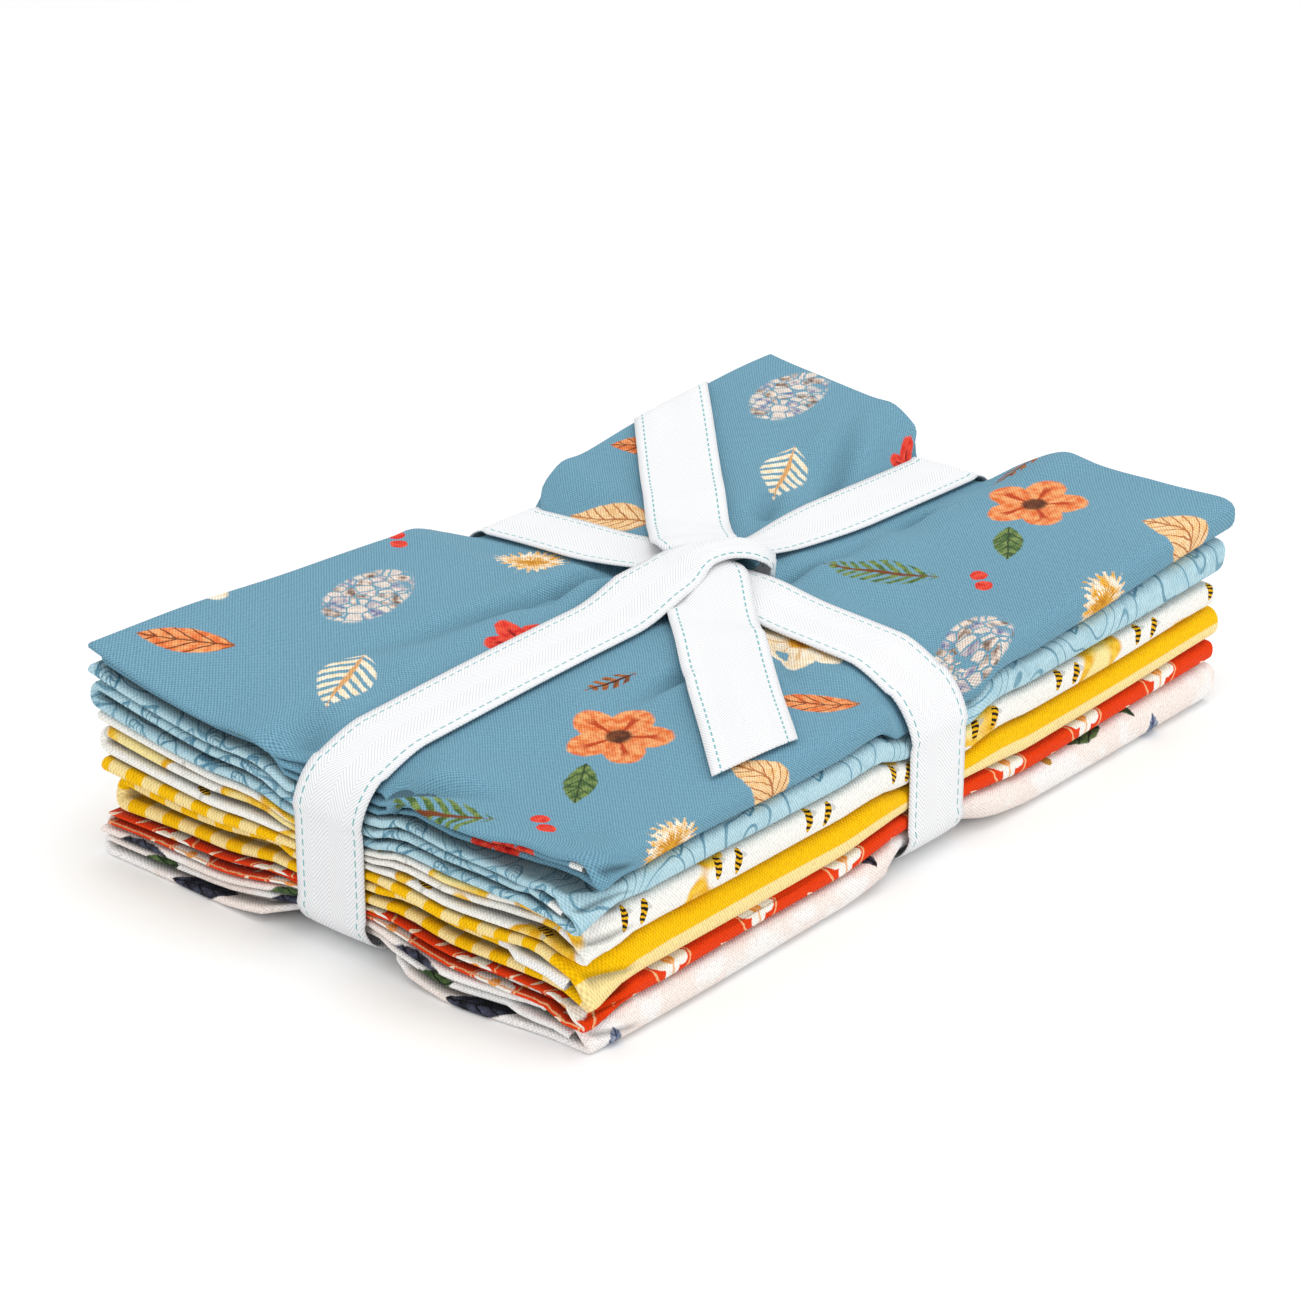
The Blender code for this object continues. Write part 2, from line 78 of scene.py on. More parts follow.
# One row for each folded cut, from the bottom up: its height in the four quarters, at the
# ribbon on each face and in the middle, how far it droops to the ribbon's bends at -X and -Y,
# and how far it stands out at each face
COLUMNS = ("name", "near", "left", "back", "right",
           "end_near", "end_far", "side_near", "side_far", "middle",
           "droop", "out_x_minus", "out_x_plus", "out_y_minus", "out_y_plus")
CUTS = (
    ("cloth_blush", 9.7, 8.0, 12.9, 13.6, 9.8, 9.4, 10.0, 7.8, 7.6, 0.8, 2.5, 0.0, 1.5, 0.0),
    ("cloth_red", 5.5, 4.2, 7.1, 7.5, 4.2, 5.6, 5.7, 4.6, 4.8, 0.2, 0.5, -0.5, -0.5, -1.5),
    ("cloth_stripe", 13.3, 19.7, 14.9, 11.0, 11.4, 10.6, 9.4, 10.2, 10.3, 1.6, 0.0, 0.5, 0.5, -3.0),
    ("cloth_cream", 10.0, 14.1, 12.9, 8.4, 7.5, 8.5, 9.4, 8.6, 10.1, 1.6, 1.0, -1.5, 0.0, -0.5),
    ("cloth_pale_blue", 7.5, 12.5, 14.5, 13.4, 10.6, 8.8, 7.8, 9.0, 10.9, 2.8, 1.5, 3.5, -0.5, 3.0),
    ("cloth_blue", 9.2, 9.0, 11.8, 13.7, 6.8, 8.5, 9.8, 8.4, 12.5, 4.0, 2.0, 6.5, 0.5, 0.5),
)
CORNER_DROP = {"near": 0.03, "left": 0.0, "back": 0.0, "right": 0.0}
CUT_ROWS = [dict(zip(COLUMNS, values)) for values in CUTS]
TOP = len(CUTS)  # the number of the surface above the last cut

# How far the underside is lifted at the ribbon
LIFT = {"end_near": 4.0, "end_far": 4.5, "side_near": 3.5, "side_far": 4.0,
        "along": 2.0, "middle": 2.5}

# The fold in three
INNER_FLAP_SHORT = 4 * MM  # the inside third stops this far short of the side
TOP_EDGE_INSET = 0.5 * MM  # and the top one's free edge
OUTER_FOLD_WIDTH = 0.75  # width of the outer fold over its half height
INNER_FOLD_WIDTH = 1.1
FOLD_SQUARENESS = 0.72  # 1 is a round fold, less is a squarer one

# The layers of cloth in each third of a cut, as shares of the third's thickness: three layers
# that turn back and forth along X, each of two plies
PAD_FILL = 0.93  # how much of a cut's height its thirds fill
LAYER_PLACES = (0.34, 0.0, -0.34)
PLY_HALF = 0.085
LOOP_PLACE = 0.08  # the turn of the outer two layers at -X
LOOP_RADIUS = 0.30
LOOP_SPREAD = 24 * MM  # they open into it over this length
LOOP_FROM = 3 * MM  # and start to, this far from the end
INNER_BENDS = 0.08  # how far the innermost layer follows them
RAW_AT_PLUS_X = 0.5 * MM  # the outer layer's cut edge, back from the +X end
RAW_AT_MINUS_X = 5 * MM  # and the inner layer's, back from the -X end

# The mesh: steps along X of the outer layer, in the cut on top and in the others, and of the
# other layers; columns across the top third, likewise, and across the other thirds
SHOWN_STEP, OUTER_STEP, INNER_STEP = 2.5 * MM, 6 * MM, 8 * MM
SHOWN_COLUMNS, TOP_COLUMNS, INNER_COLUMNS = 84, 30, 26
TURN_STEPS = 8
BOLT_STEPS = 4  # of the fold that joins the two plies
TYPICAL_THIRD = 2.8 * MM  # a third's thickness, for the flat cloth's length

# How far the -X ends of each cut's thirds stand back: the inside, the bottom, the top
# and, towards the near corner, the whole cut
ENDS_BACK = {
    "cloth_blush": (2.0, 0.0, 0.6, 4.0), "cloth_red": (2.5, -0.8, 0.6, 1.8),
    "cloth_stripe": (2.4, 1.4, -2.2, 2.4), "cloth_cream": (0.8, -0.6, 0.4, 3.0),
    "cloth_pale_blue": (1.2, 0.2, 1.4, 0.0), "cloth_blue": (3.0, 4.6, 0.0, 4.6),
}
FLAP_OUT = {"cloth_stripe": 5.0, "cloth_blush": 3.5}  # the inside third, at the near corner
NEAR_ENDS = 35 * MM, 45 * MM  # where along -Y the near corner's values set in, and how slowly
NEAR_FLAPS = 58 * MM, 12 * MM
END_ZONE = 22 * MM  # the ends' places vary within this distance of them
END_EASE = 20 * MM
UNEVEN_TOP, UNEVEN_INSIDE = 0.15, 0.5  # share of the unevenness on the top third and elsewhere

# The near corner, where the folds are tucked in
TUCK = 8 * MM  # how far the upper half of a fold is drawn in at the end
TUCK_REACH = 15 * MM  # over this length along X
TUCK_WHOLE = 1.1  # a little more than 1, so that it is whole before the end
TUCK_WIDTH = 40 * MM
TUCK_DIP = 4 * MM  # the middle of the stack sags there
SAG_REACH, SAG_WIDTH = 22 * MM, 18 * MM
SAG_AT, SAG_SPREAD = 20 * MM, 25 * MM  # the height of the deepest sag, and to where it goes
SAG_LEAST = -0.4  # above that the layers rise a little
SAG_FROM = 9 * MM  # the lowest layers keep their place
CRUMPLE = 1.1 * MM
CRUMPLE_REACH = 42 * MM
CRUMPLE_WAVES = 9, 11 * MM, 26 * MM  # seed, shortest and longest wave, here and below
CRUMPLE_SLANTS = 1.4, 0.8

# Unevenness
UNDULATION = 0.75 * MM  # of the top cloth, over the quarters
UNDULATION_WAVES = 16, 60 * MM, 150 * MM
PUCKER = 1.4 * MM  # beside the ribbon
PUCKER_WAVES = 10, 20 * MM, 46 * MM
PUCKER_FROM, PUCKER_REACH = 9 * MM, 38 * MM
FACE_WAVES = 0.35 * MM  # of the folds along the Y sides
FACE_WAVE_LENGTHS = 3, 50 * MM, 130 * MM
ON_TOP = 0.99  # past this side of 1 a column is the top third's

# Creases in the top cloth, each a furrow from its deep end to its shallow one
CREASE_PAINTED_SHADE = 0.13  # how much painted shade darkens the cloth in a crease, for each mm of depth
CREASE_COLUMNS = ("deep_p", "deep_q", "end_p", "end_q", "depth", "width")
CREASES = (
    (20.0, -13.0, 82.0, -18.0, 3.6, 3.2),
    (99.0, -15.5, 72.0, -14.0, 3.0, 3.5),
    (-9.0, 27.0, -118.0, 43.5, 3.8, 3.8),
    (-142.0, -19.0, -122.0, -50.0, 3.4, 3.4),
    (95.0, 18.0, 148.0, 47.0, 3.2, 3.8),
    (62.0, 20.0, 90.0, 33.0, 2.8, 3.4),
    (-42.0, -35.0, -74.0, -36.0, 2.4, 3.0),
    (-9.0, -44.0, -26.0, -66.0, 2.4, 3.0),
    (-138.0, 18.0, -116.0, 31.0, 2.2, 4.5),
)
CREASE_HEAD = 6  # a furrow's deep end is this many times steeper than the rest
CREASE_RIDGE, CREASE_RIDGE_AT = 0.4, 2  # height of its side ridges, and their place in widths
BARE_FLANK = 5 * MM  # creases start this far from the ribbon
PAINTED_SHADE_FROM, PAINTED_SHADE_EASE = 1.6 * MM, 2 * MM  # where painted shade darkens the cloth between the turns at -X
PAINTED_SHADE_TO, PAINTED_SHADE_FADE = 12 * MM, 10 * MM

# The studio: half width of the floor and its look, the light all round, and area lamps (name,
# place, diameter, watts)
FLOOR = 3.0
PAPER = {"Base Color": (0.9, 0.9, 0.9, 1), "Roughness": 0.8}
SKY = {"Color": (1, 1, 1, 1), "Strength": 0.97}
LAMPS = (("overhead", (0.1, -0.1, 1.3), 1.2, 5), ("from_right", (0.2, -1.4, 0.7), 0.8, 4.5),
         ("from_left", (-1.4, -0.2, 0.6), 0.8, 2.2))
LAMPS_AIM_AT = (0, 0, 0.03)

# The camera
CAMERA_AT = (-715.67 * MM, -602.66 * MM, 446.53 * MM)
CAMERA_AZIMUTH = math.radians(-139.282)
CAMERA_ELEVATION = math.radians(23.526)
CAMERA_LENS = 96.49
SENSOR = 36.0


def smooth_step(value):
    """0 below 0, 1 above 1 and smooth between."""
    value = np.clip(value, 0.0, 1.0)
    return value * value * (3 - 2 * value)


def nearness(distance, width):
    """1 on the floor of the ribbon's valley, 0 past a slope of this width beside it."""
    return 1 - smooth_step((np.abs(distance) - VALLEY_FLOOR) / width)


def near_bands(p, q, width):
    """How near each point of the plan is to the band along X, and to the one along Y."""
    return nearness(q - BAND_ALONG_X_AT, width), nearness(p - BAND_ALONG_Y_AT, width)


def under_bands(p, q):
    """How much the band along X, and the one along Y, holds the cloth down at each point."""
    apron = np.interp(p, (-HALF_LENGTH, HALF_LENGTH), APRON_SHARE)
    return [(1 - apron) * steep + apron * gentle for steep, gentle in zip(
        near_bands(p, q, VALLEY_FLANK), near_bands(p, q, VALLEY_APRON))]


def between_ends(t, low, middle, high, power):
    """A value along a band: the middle one, bent towards the one at the end that it nears."""
    end = np.where(t < 0, low, high)
    return middle + (end - middle) * np.abs(t) ** power


def droop(p, q):
    """How much the ribbon bends down the end at -X and the side at -Y, 0 to 1."""
    on_x, on_y = near_bands(p, q, PINCH_FLANK)
    past_x = np.clip((-p - HALF_LENGTH) / DROOP_REACH + 1, 0, 1) ** DROOP_POWER
    past_y = np.clip((-q - HALF_WIDTH) / DROOP_REACH + 1, 0, 1) ** DROOP_POWER
    return DROOP_OF_END * on_x * past_x + on_y * past_y


def cut_height(cut, p, q):
    """Height of one folded cut at points of the plan."""
    u, v = (np.clip(place / half, -PAST_THE_EDGE, PAST_THE_EDGE)
            for place, half in ((p, HALF_LENGTH), (q, HALF_WIDTH)))
    far_x, far_y = ((1 + u) / 2) ** 2, ((1 + v) / 2) ** 2
    weights = {"near": (1 - far_x) * (1 - far_y), "left": (1 - far_x) * far_y,
               "back": far_x * far_y, "right": far_x * (1 - far_y)}
    quarter = sum(weights[corner] * cut[corner] for corner in weights)
    drop = sum(weights[corner] * CORNER_DROP[corner] for corner in weights)
    quarter = quarter * (1 - drop * np.abs(u * v) ** 3)
    along_x = between_ends(u, cut["end_near"], cut["middle"], cut["end_far"], 2)
    along_y = between_ends(v, cut["side_near"], cut["middle"], cut["side_far"], 2)
    on_x, on_y = under_bands(p, q)
    return MM * ((1 - on_x) * (1 - on_y) * quarter + on_x * (1 - on_y) * along_x
                 + on_y * (1 - on_x) * along_y + on_x * on_y * cut["middle"]
                 - droop(p, q) * cut["droop"])


def underside(p, q):
    """Height of the stack's underside: zero, but for the lift at the ribbon."""
    u = np.clip(p / HALF_LENGTH, -1.0, 1.0)
    v = np.clip(q / HALF_WIDTH, -1.0, 1.0)
    along_x = between_ends(u, LIFT["end_near"], LIFT["along"], LIFT["end_far"], 4)
    along_y = between_ends(v, LIFT["side_near"], LIFT["along"], LIFT["side_far"], 4)
    on_x, on_y = near_bands(p, q, LIFT_FLANK)
    return MM * (on_x * (1 - on_y) * along_x + on_y * (1 - on_x) * along_y
                 + on_x * on_y * LIFT["middle"])


def level(number, p, q):
    """Height of the surface under cut `number`; past the last cut it is the stack's top."""
    z = underside(p, q)
    for cut in CUT_ROWS[:number]:
        z = z + cut_height(cut, p, q)
    return z


def rounding(z, low, high, radius):
    """How far a point at height z stands back where the edges at low and high are rounded."""
    radius = np.maximum(radius, 1e-6)
    over = np.maximum(z - (high - radius), (low + radius) - z)
    share = np.clip(over / radius, 0, 1)
    return radius * (1 - np.sqrt(1 - share ** 2))


def slant(p, q):
    """How far the slant of the bands moves a point of the square plan."""
    return (SLANT_ALONG_Y * q * np.clip(1 - (p / HALF_LENGTH) ** 2, 0, 1),
            SLANT_ALONG_X * p * np.clip(1 - (q / HALF_WIDTH) ** 2, 0, 1))


def in_plan(p, q):
    """From the square plan to the real one."""
    move_x, move_y = slant(p, q)
    return p + move_x, q + move_y


def in_square_plan(x, y):
    """The other way, from the real plan to the square one."""
    p, q = x, y
    for _ in range(6):
        p = x - slant(p, q)[0]
        q = y - slant(p, q)[1]
    return p, q


def pad_thickness(cut, p, q):
    """Thickness of one third of the folded cut."""
    return PAD_FILL * (cut_height(cut, p, q) - PACKET_GAP) / 3


def place(number, p, q, share):
    """A point of cut `number`, from its plan place and its share of that cut's height."""
    cut = CUT_ROWS[number]
    on_x, on_y = near_bands(p, q, PINCH_FLANK)
    low, high = level(0, p, q), level(TOP, p, q)
    bottom = level(number, p, q)
    z = bottom + share * cut_height(cut, p, q)
    out_x = np.where(p < 0, cut["out_x_minus"], cut["out_x_plus"]) * MM
    out_y = np.where(q < 0, cut["out_y_minus"], cut["out_y_plus"]) * MM
    pinch_x, pinch_y = np.where(p < 0, *PINCH_ENDS), np.where(q < 0, *PINCH_SIDES)
    half_pad = pad_thickness(cut, p, q) / 2
    bend_y = BEND_OF_SIDES + (BEND_UNDER_RIBBON - BEND_OF_SIDES) * on_y
    back_x = rounding(z, low + half_pad, high - half_pad, BEND_UNDER_RIBBON * on_x)
    back_y = rounding(z, low + half_pad, high - half_pad, bend_y)
    move_x = (1 - on_x) * out_x - on_x * pinch_x - back_x
    move_y = (1 - on_y) * out_y - on_y * pinch_y - back_y
    near_end = np.clip(np.abs(p / HALF_LENGTH), 0, 1) ** END_POWER
    near_side = np.clip(np.abs(q / HALF_WIDTH), 0, 1) ** SIDE_POWER
    moved_p = p + np.sign(p) * near_end * move_x
    moved_q = q + np.sign(q) * near_side * move_y
    z = level(number, moved_p, moved_q) + share * cut_height(cut, moved_p, moved_q)
    x, y = in_plan(moved_p, moved_q)
    return x, y, z


def waves(seed, low, high, count=10):
    """A smooth random field in plan: a function of places, in metres, about -1 to 1."""
    random = np.random.default_rng(seed)
    wave = 2 * math.pi / (random.uniform(low, high, count))
    heading = random.uniform(0, math.pi, count)
    phase = random.uniform(0, 2 * math.pi, count)

    def field(p, q):
        total = 0.0
        for k, a, f in zip(wave, heading, phase):
            total = total + np.sin(k * (np.cos(a) * p + np.sin(a) * q) + f)
        return total / math.sqrt(count)
    return field


def creases(p, q):
    """Depth of the top cloth's creases: furrows with a low ridge on each side."""
    total = 0.0
    for values in CREASES:
        one = dict(zip(CREASE_COLUMNS, values))
        along_p, along_q = one["end_p"] - one["deep_p"], one["end_q"] - one["deep_q"]
        length = math.hypot(along_p, along_q)
        off_p, off_q = p / MM - one["deep_p"], q / MM - one["deep_q"]
        share = (off_p * along_p + off_q * along_q) / length ** 2
        off = np.abs(off_q * along_p - off_p * along_q) / length / one["width"]
        fade = smooth_step(share * CREASE_HEAD + 1) * (1 - smooth_step(share))
        ridges = CREASE_RIDGE * np.exp(-(off - CREASE_RIDGE_AT) ** 2)
        total = total + one["depth"] * fade * (np.exp(-off ** 2) - ridges)
    return total * MM


def bare(p, q):
    """1 on the open cloth, 0 under the bands of ribbon."""
    return 1 - np.maximum(*near_bands(p, q, BARE_FLANK))


def wrinkles(p, q):
    """Rise of the top cloth: undulations, short puckers beside the ribbon, and creases."""
    beside = np.maximum(*(wide - narrow for wide, narrow in zip(
        near_bands(p, q, PUCKER_REACH), near_bands(p, q, PUCKER_FROM))))
    broad = waves(*UNDULATION_WAVES)(p, q) * UNDULATION
    free = 1 - np.maximum(*near_bands(p, q, PINCH_FLANK))
    return (free * broad + beside * waves(*PUCKER_WAVES)(p, q) * PUCKER
            - bare(p, q) * creases(p, q))


def top_surface(p, q):
    """Height on which the ribbon's tails lie: the topmost cloth, with its furrows bridged."""
    furrows = np.maximum(creases(p, q), 0) * bare(p, q)
    return level(TOP, p, q) + wrinkles(p, q) + furrows


def tucked(p, q, side):
    """Places of a fold's points in plan, drawn in at the near corner."""
    at_end = smooth_step((-p - HALF_LENGTH) / TUCK_REACH + TUCK_WHOLE)
    at_side = 1 - smooth_step((q + HALF_WIDTH) / TUCK_WIDTH)
    return q + TUCK * at_end * at_side * (side + 1) / 2


def corner_sag(p, q, z):
    """Change of height at the near corner: a sag in the middle of the stack, and crumples."""
    at_end = smooth_step((-p - HALF_LENGTH) / SAG_REACH + 1)
    at_side = 1 - smooth_step((q + HALF_WIDTH) / SAG_WIDTH)
    sag = np.clip(1 - ((z - SAG_AT) / SAG_SPREAD) ** 2, SAG_LEAST, 1)
    away = np.hypot(p + HALF_LENGTH, q + HALF_WIDTH) / CRUMPLE_REACH
    over_q, over_p = CRUMPLE_SLANTS
    crumple = waves(*CRUMPLE_WAVES)(q + z * over_q, z * over_p + p) * (1 - smooth_step(away))
    low = smooth_step(z / SAG_FROM)
    return low * (CRUMPLE * crumple - TUCK_DIP * at_end * at_side * sag)


def spaced(start, end, step):
    """Evenly spaced numbers from start to end, about a step apart."""
    return list(np.linspace(start, end, max(2, 1 + round(abs(end - start) / step))))


def back_and_forth(outer_step):
    """One sheet's run along X: outer layer, turn at -X, middle layer, turn at +X, inner layer.

    Gives six arrays: x_at, x_per, across, normal_x, normal_n and the layer's number. A station
    is at x_at + x_per * thickness of the third along X, and across * thickness in the third.
    The normal is the side of the sheet that the first ply lies on.
    """
    rows = []
    end, turn_at = HALF_LENGTH, HALF_LENGTH - LOOP_FROM
    angles = [math.pi * step / TURN_STEPS for step in range(TURN_STEPS + 1)]

    def opening(x):
        return 1 - smooth_step((x + end - LOOP_FROM) / LOOP_SPREAD)

    top, middle, bottom = LAYER_PLACES
    for x in spaced(end - RAW_AT_PLUS_X, -end + LOOP_FROM, outer_step):
        rows.append((x, 0, top + (LOOP_PLACE + LOOP_RADIUS - top) * opening(x), 0, 1, 0))
    for angle in angles:
        rows.append((-end, LOOP_RADIUS + PLY_HALF - LOOP_RADIUS * math.sin(angle),
                     LOOP_PLACE + LOOP_RADIUS * math.cos(angle),
                     -math.sin(angle), math.cos(angle), 0.5))
    for x in spaced(-end + LOOP_FROM, turn_at, INNER_STEP):
        rows.append((x, 0, middle + (LOOP_PLACE - LOOP_RADIUS - middle) * opening(x), 0, -1, 1))
    radius = (middle - bottom) / 2
    for angle in angles:
        rows.append((end, -(radius + PLY_HALF) + radius * math.sin(angle),
                     (middle + bottom) / 2 + radius * math.cos(angle),
                     -math.sin(angle), -math.cos(angle), 1.5))
    for x in spaced(turn_at, -end + RAW_AT_MINUS_X, INNER_STEP):
        rows.append((x, 0, bottom - INNER_BENDS * opening(x), 0, 1, 2))
    return np.array(rows, dtype=float).T.copy()


def roll_columns(top_columns):
    """Columns of the fold in three: (piece of the run, share along it)."""
    counts = (("inside", INNER_COLUMNS), ("inner fold", TURN_STEPS), ("bottom", INNER_COLUMNS),
              ("outer fold", TURN_STEPS + 2), ("top", top_columns))
    columns = []
    for piece, count in counts:
        shares = spaced(0, 1, 1 / count)
        columns += [(piece, f) for f in (shares[1:-1] if piece.endswith("fold") else shares)]
    return columns


def squarish(angle):
    """Sine and cosine of a turn, drawn out towards a square's."""
    sine, cosine = math.sin(angle), math.cos(angle)
    return sine ** FOLD_SQUARENESS, math.copysign(abs(cosine) ** FOLD_SQUARENESS, cosine)


def roll_places(columns, cut, x):
    """(q place, side) of each column for each station of x: shapes (stations, columns)."""
    at_sides = [np.full_like(x, HALF_WIDTH), np.full_like(x, -HALF_WIDTH)]
    pad_in, pad_out = (pad_thickness(cut, x, at) for at in at_sides)
    turn_in, turn_out = ((cut_height(cut, x, at) - pad - PACKET_GAP) / 2
                         for at, pad in zip(at_sides, (pad_in, pad_out)))
    far_turn = HALF_WIDTH - pad_in / 2 - turn_in / 2 * INNER_FOLD_WIDTH
    near_turn = -HALF_WIDTH + pad_out / 2 + turn_out * OUTER_FOLD_WIDTH
    inner_start = -HALF_WIDTH + INNER_FLAP_SHORT
    places, sides = [], []
    for piece, f in columns:
        out, up = squarish(math.pi * f)
        at, side = {
            "inside": (inner_start + f * (far_turn - inner_start), 0.0),
            "inner fold": (far_turn + turn_in / 2 * INNER_FOLD_WIDTH * out, -0.5 + 0.5 * up),
            "bottom": (far_turn + f * (near_turn - far_turn), -1.0),
            "outer fold": (near_turn - turn_out * OUTER_FOLD_WIDTH * out, -up),
            "top": (near_turn + f * (HALF_WIDTH - TOP_EDGE_INSET - near_turn), 1.0)}[piece]
        places.append(at)
        sides.append(side)
    return np.stack(places, axis=1), np.array(sides)[None, :]


def linked(name, data):
    """A new object in the scene."""
    obj = bpy.data.objects.new(name, data)
    bpy.context.scene.collection.objects.link(obj)
    return obj


def grid_object(name, points, flat):
    """A mesh from a grid of points, at the stack's place, with the flat coordinates."""
    index = np.arange(points[..., 0].size).reshape(points.shape[:2])
    quads = np.stack([index[:-1, :-1], index[:-1, 1:], index[1:, 1:], index[1:, :-1]], axis=-1)
    mesh = bpy.data.meshes.new(name)
    points = points.reshape(-1, 3) + (*STACK_AT, 0.0)
    mesh.from_pydata(points.tolist(), [], quads.reshape(-1, 4).tolist())
    layer = mesh.attributes.new("flat", "FLOAT_VECTOR", "POINT")
    layer.data.foreach_set("vector", flat.astype(np.float32).ravel())
    mesh.shade_smooth()
    return linked(name, mesh)


def running_length(points):
    """Distance along a line of points, from its start."""
    steps = np.linalg.norm(np.diff(points, axis=0), axis=1)
    return np.concatenate([[0.0], np.cumsum(steps)])


def ends_back(name, columns, q):
    """How far the -X ends of a cut's thirds stand back, in mm."""
    inside, bottom, top, near_corner = ENDS_BACK[name]
    between = {"inside": (inside, inside), "inner fold": (inside, bottom),
               "bottom": (bottom, bottom), "outer fold": (bottom, top), "top": (top, top)}
    by_third = np.array([between[piece][0] + f * (between[piece][1] - between[piece][0])
                         for piece, f in columns])[None, :]
    flap = np.array([piece == "inside" for piece, f in columns])[None, :]
    near_end, near_flap = (smooth_step((-q - start) / reach)
                           for start, reach in (NEAR_ENDS, NEAR_FLAPS))
    return by_third + near_corner * near_end - flap * FLAP_OUT.get(name, 0.0) * near_flap


def uneven_ends(number, columns):
    """The unevenness of a cut's ends, in mm."""
    random = np.random.default_rng(40 + number)
    share = np.linspace(0, 1, len(columns))[None, :]
    wobble = sum(a * np.sin(f * share * 2 * math.pi + g) for a, f, g in zip(
        random.uniform(0.3, 0.7, 5), random.uniform(2, 11, 5), random.uniform(0, 6, 5)))
    return wobble * np.array([UNEVEN_TOP if piece in ("outer fold", "top") else UNEVEN_INSIDE
                              for piece, f in columns])[None, :]


def make_cloth(number):
    """One folded cut, as a single thin sheet of two plies in its real folds; its flat size too."""
    cut, shown = CUT_ROWS[number], number == TOP - 1
    x_at, x_per, across, normal_x, normal_n, layer = back_and_forth(
        SHOWN_STEP if shown else OUTER_STEP)
    columns = roll_columns(SHOWN_COLUMNS if shown else TOP_COLUMNS)
    u = running_length(np.stack([x_at + x_per * TYPICAL_THIRD, across * TYPICAL_THIRD], axis=1))
    q, side = roll_places(columns, cut, x_at)
    at_minus, at_plus = (smooth_step((way * x_at - HALF_LENGTH + END_ZONE) / END_EASE)[:, None]
                         for way in (-1, 1))
    x_at, x_per, across, normal_x, normal_n = (values[:, None] for values in (
        x_at, x_per, across, normal_x, normal_n))
    free = 1 - nearness(q - BAND_ALONG_X_AT, PINCH_FLANK)
    uneven = uneven_ends(number, columns) * free
    p = x_at + x_per * pad_thickness(cut, x_at, q)
    back = ends_back(cut["name"], columns, q) * free + uneven
    p = p + at_minus * back * MM - at_plus * np.abs(uneven) * MM
    q = tucked(p, q, side)
    pad, height = pad_thickness(cut, p, q), cut_height(cut, p, q)
    share = 0.5 + 0.5 * side * (1 - (pad + PACKET_GAP) / height)
    if number == 0:
        share = share - 0.5 * PACKET_GAP / height * (1 - side) / 2
    x, y, z = place(number, p, q, share)
    if shown:
        z = z + wrinkles(p, q) * smooth_step((side - 0.2) / 0.8)
    z = z + corner_sag(p, q, z)
    in_face = waves(*FACE_WAVE_LENGTHS)(x, z * 4 + number) * (np.abs(side) < ON_TOP)
    y = y + FACE_WAVES * in_face * (1 - nearness(p - BAND_ALONG_Y_AT, PINCH_FLANK))
    dy, dz = np.gradient(y, axis=1), np.gradient(z, axis=1)
    size = np.sqrt(dy ** 2 + dz ** 2)
    along = np.stack([np.zeros_like(x), dy / size, dz / size], axis=-1)
    out = np.stack([np.zeros_like(x), -dz / size, dy / size], axis=-1)
    middle = np.stack([x, y, z], axis=-1)
    ahead = np.array([1.0, 0.0, 0.0])

    def ply(turn, part):
        """The sheet's points on the ply at this turn of the bolt fold, 0 the first, pi the last."""
        half = (PLY_HALF * pad * math.cos(turn))[:, part, None]
        offset = (pad * across)[:, part, None] + half * normal_n[:, :, None]
        spot = middle[:, part] + out[:, part] * offset + ahead * half * normal_x[:, :, None]
        return spot + along[:, part] * (PLY_HALF * pad * math.sin(turn))[:, part, None]

    every, last = slice(None), slice(-1, None)
    bolt = [ply(math.pi * step / BOLT_STEPS, last) for step in range(1, BOLT_STEPS)]
    points = np.concatenate([ply(0.0, every)] + bolt + [ply(math.pi, every)[:, ::-1]], axis=1)
    v = running_length(points[len(points) // 7])  # along a row between the end and the ribbon
    # Painted shade, carried as the third flat coordinate: darker on the plies just past the turns at
    # -X (not on the folds or the top cloth's top), and in the top cloth's creases
    past_turn = np.abs(u - u[layer == 0.5].mean())
    painted_shade = (smooth_step((past_turn - PAINTED_SHADE_FROM) / PAINTED_SHADE_EASE)
            * (1 - smooth_step((past_turn - PAINTED_SHADE_TO) / PAINTED_SHADE_FADE)))
    on_top = (side > ON_TOP) & shown
    on_fold = np.abs(side) % 1.0 > 1e-6
    furrows = creases(p, q) * bare(p, q)
    painted_shade = np.maximum(painted_shade[:, None] * ~(on_fold | on_top), CREASE_PAINTED_SHADE * furrows / MM * on_top)
    painted_shade = np.concatenate([painted_shade, np.repeat(painted_shade[:, -1:], BOLT_STEPS - 1, axis=1),
                           painted_shade[:, ::-1]], axis=1)
    flat = np.stack(np.broadcast_arrays(u[:, None], v[None, :], painted_shade), axis=-1)
    return grid_object(cut["name"] + "_sheet", points, flat), (float(u[-1]), float(v[-1]))


def operator(operation):
    """A method that adds a maths node."""
    return lambda self, *others: self.math(operation, *others)


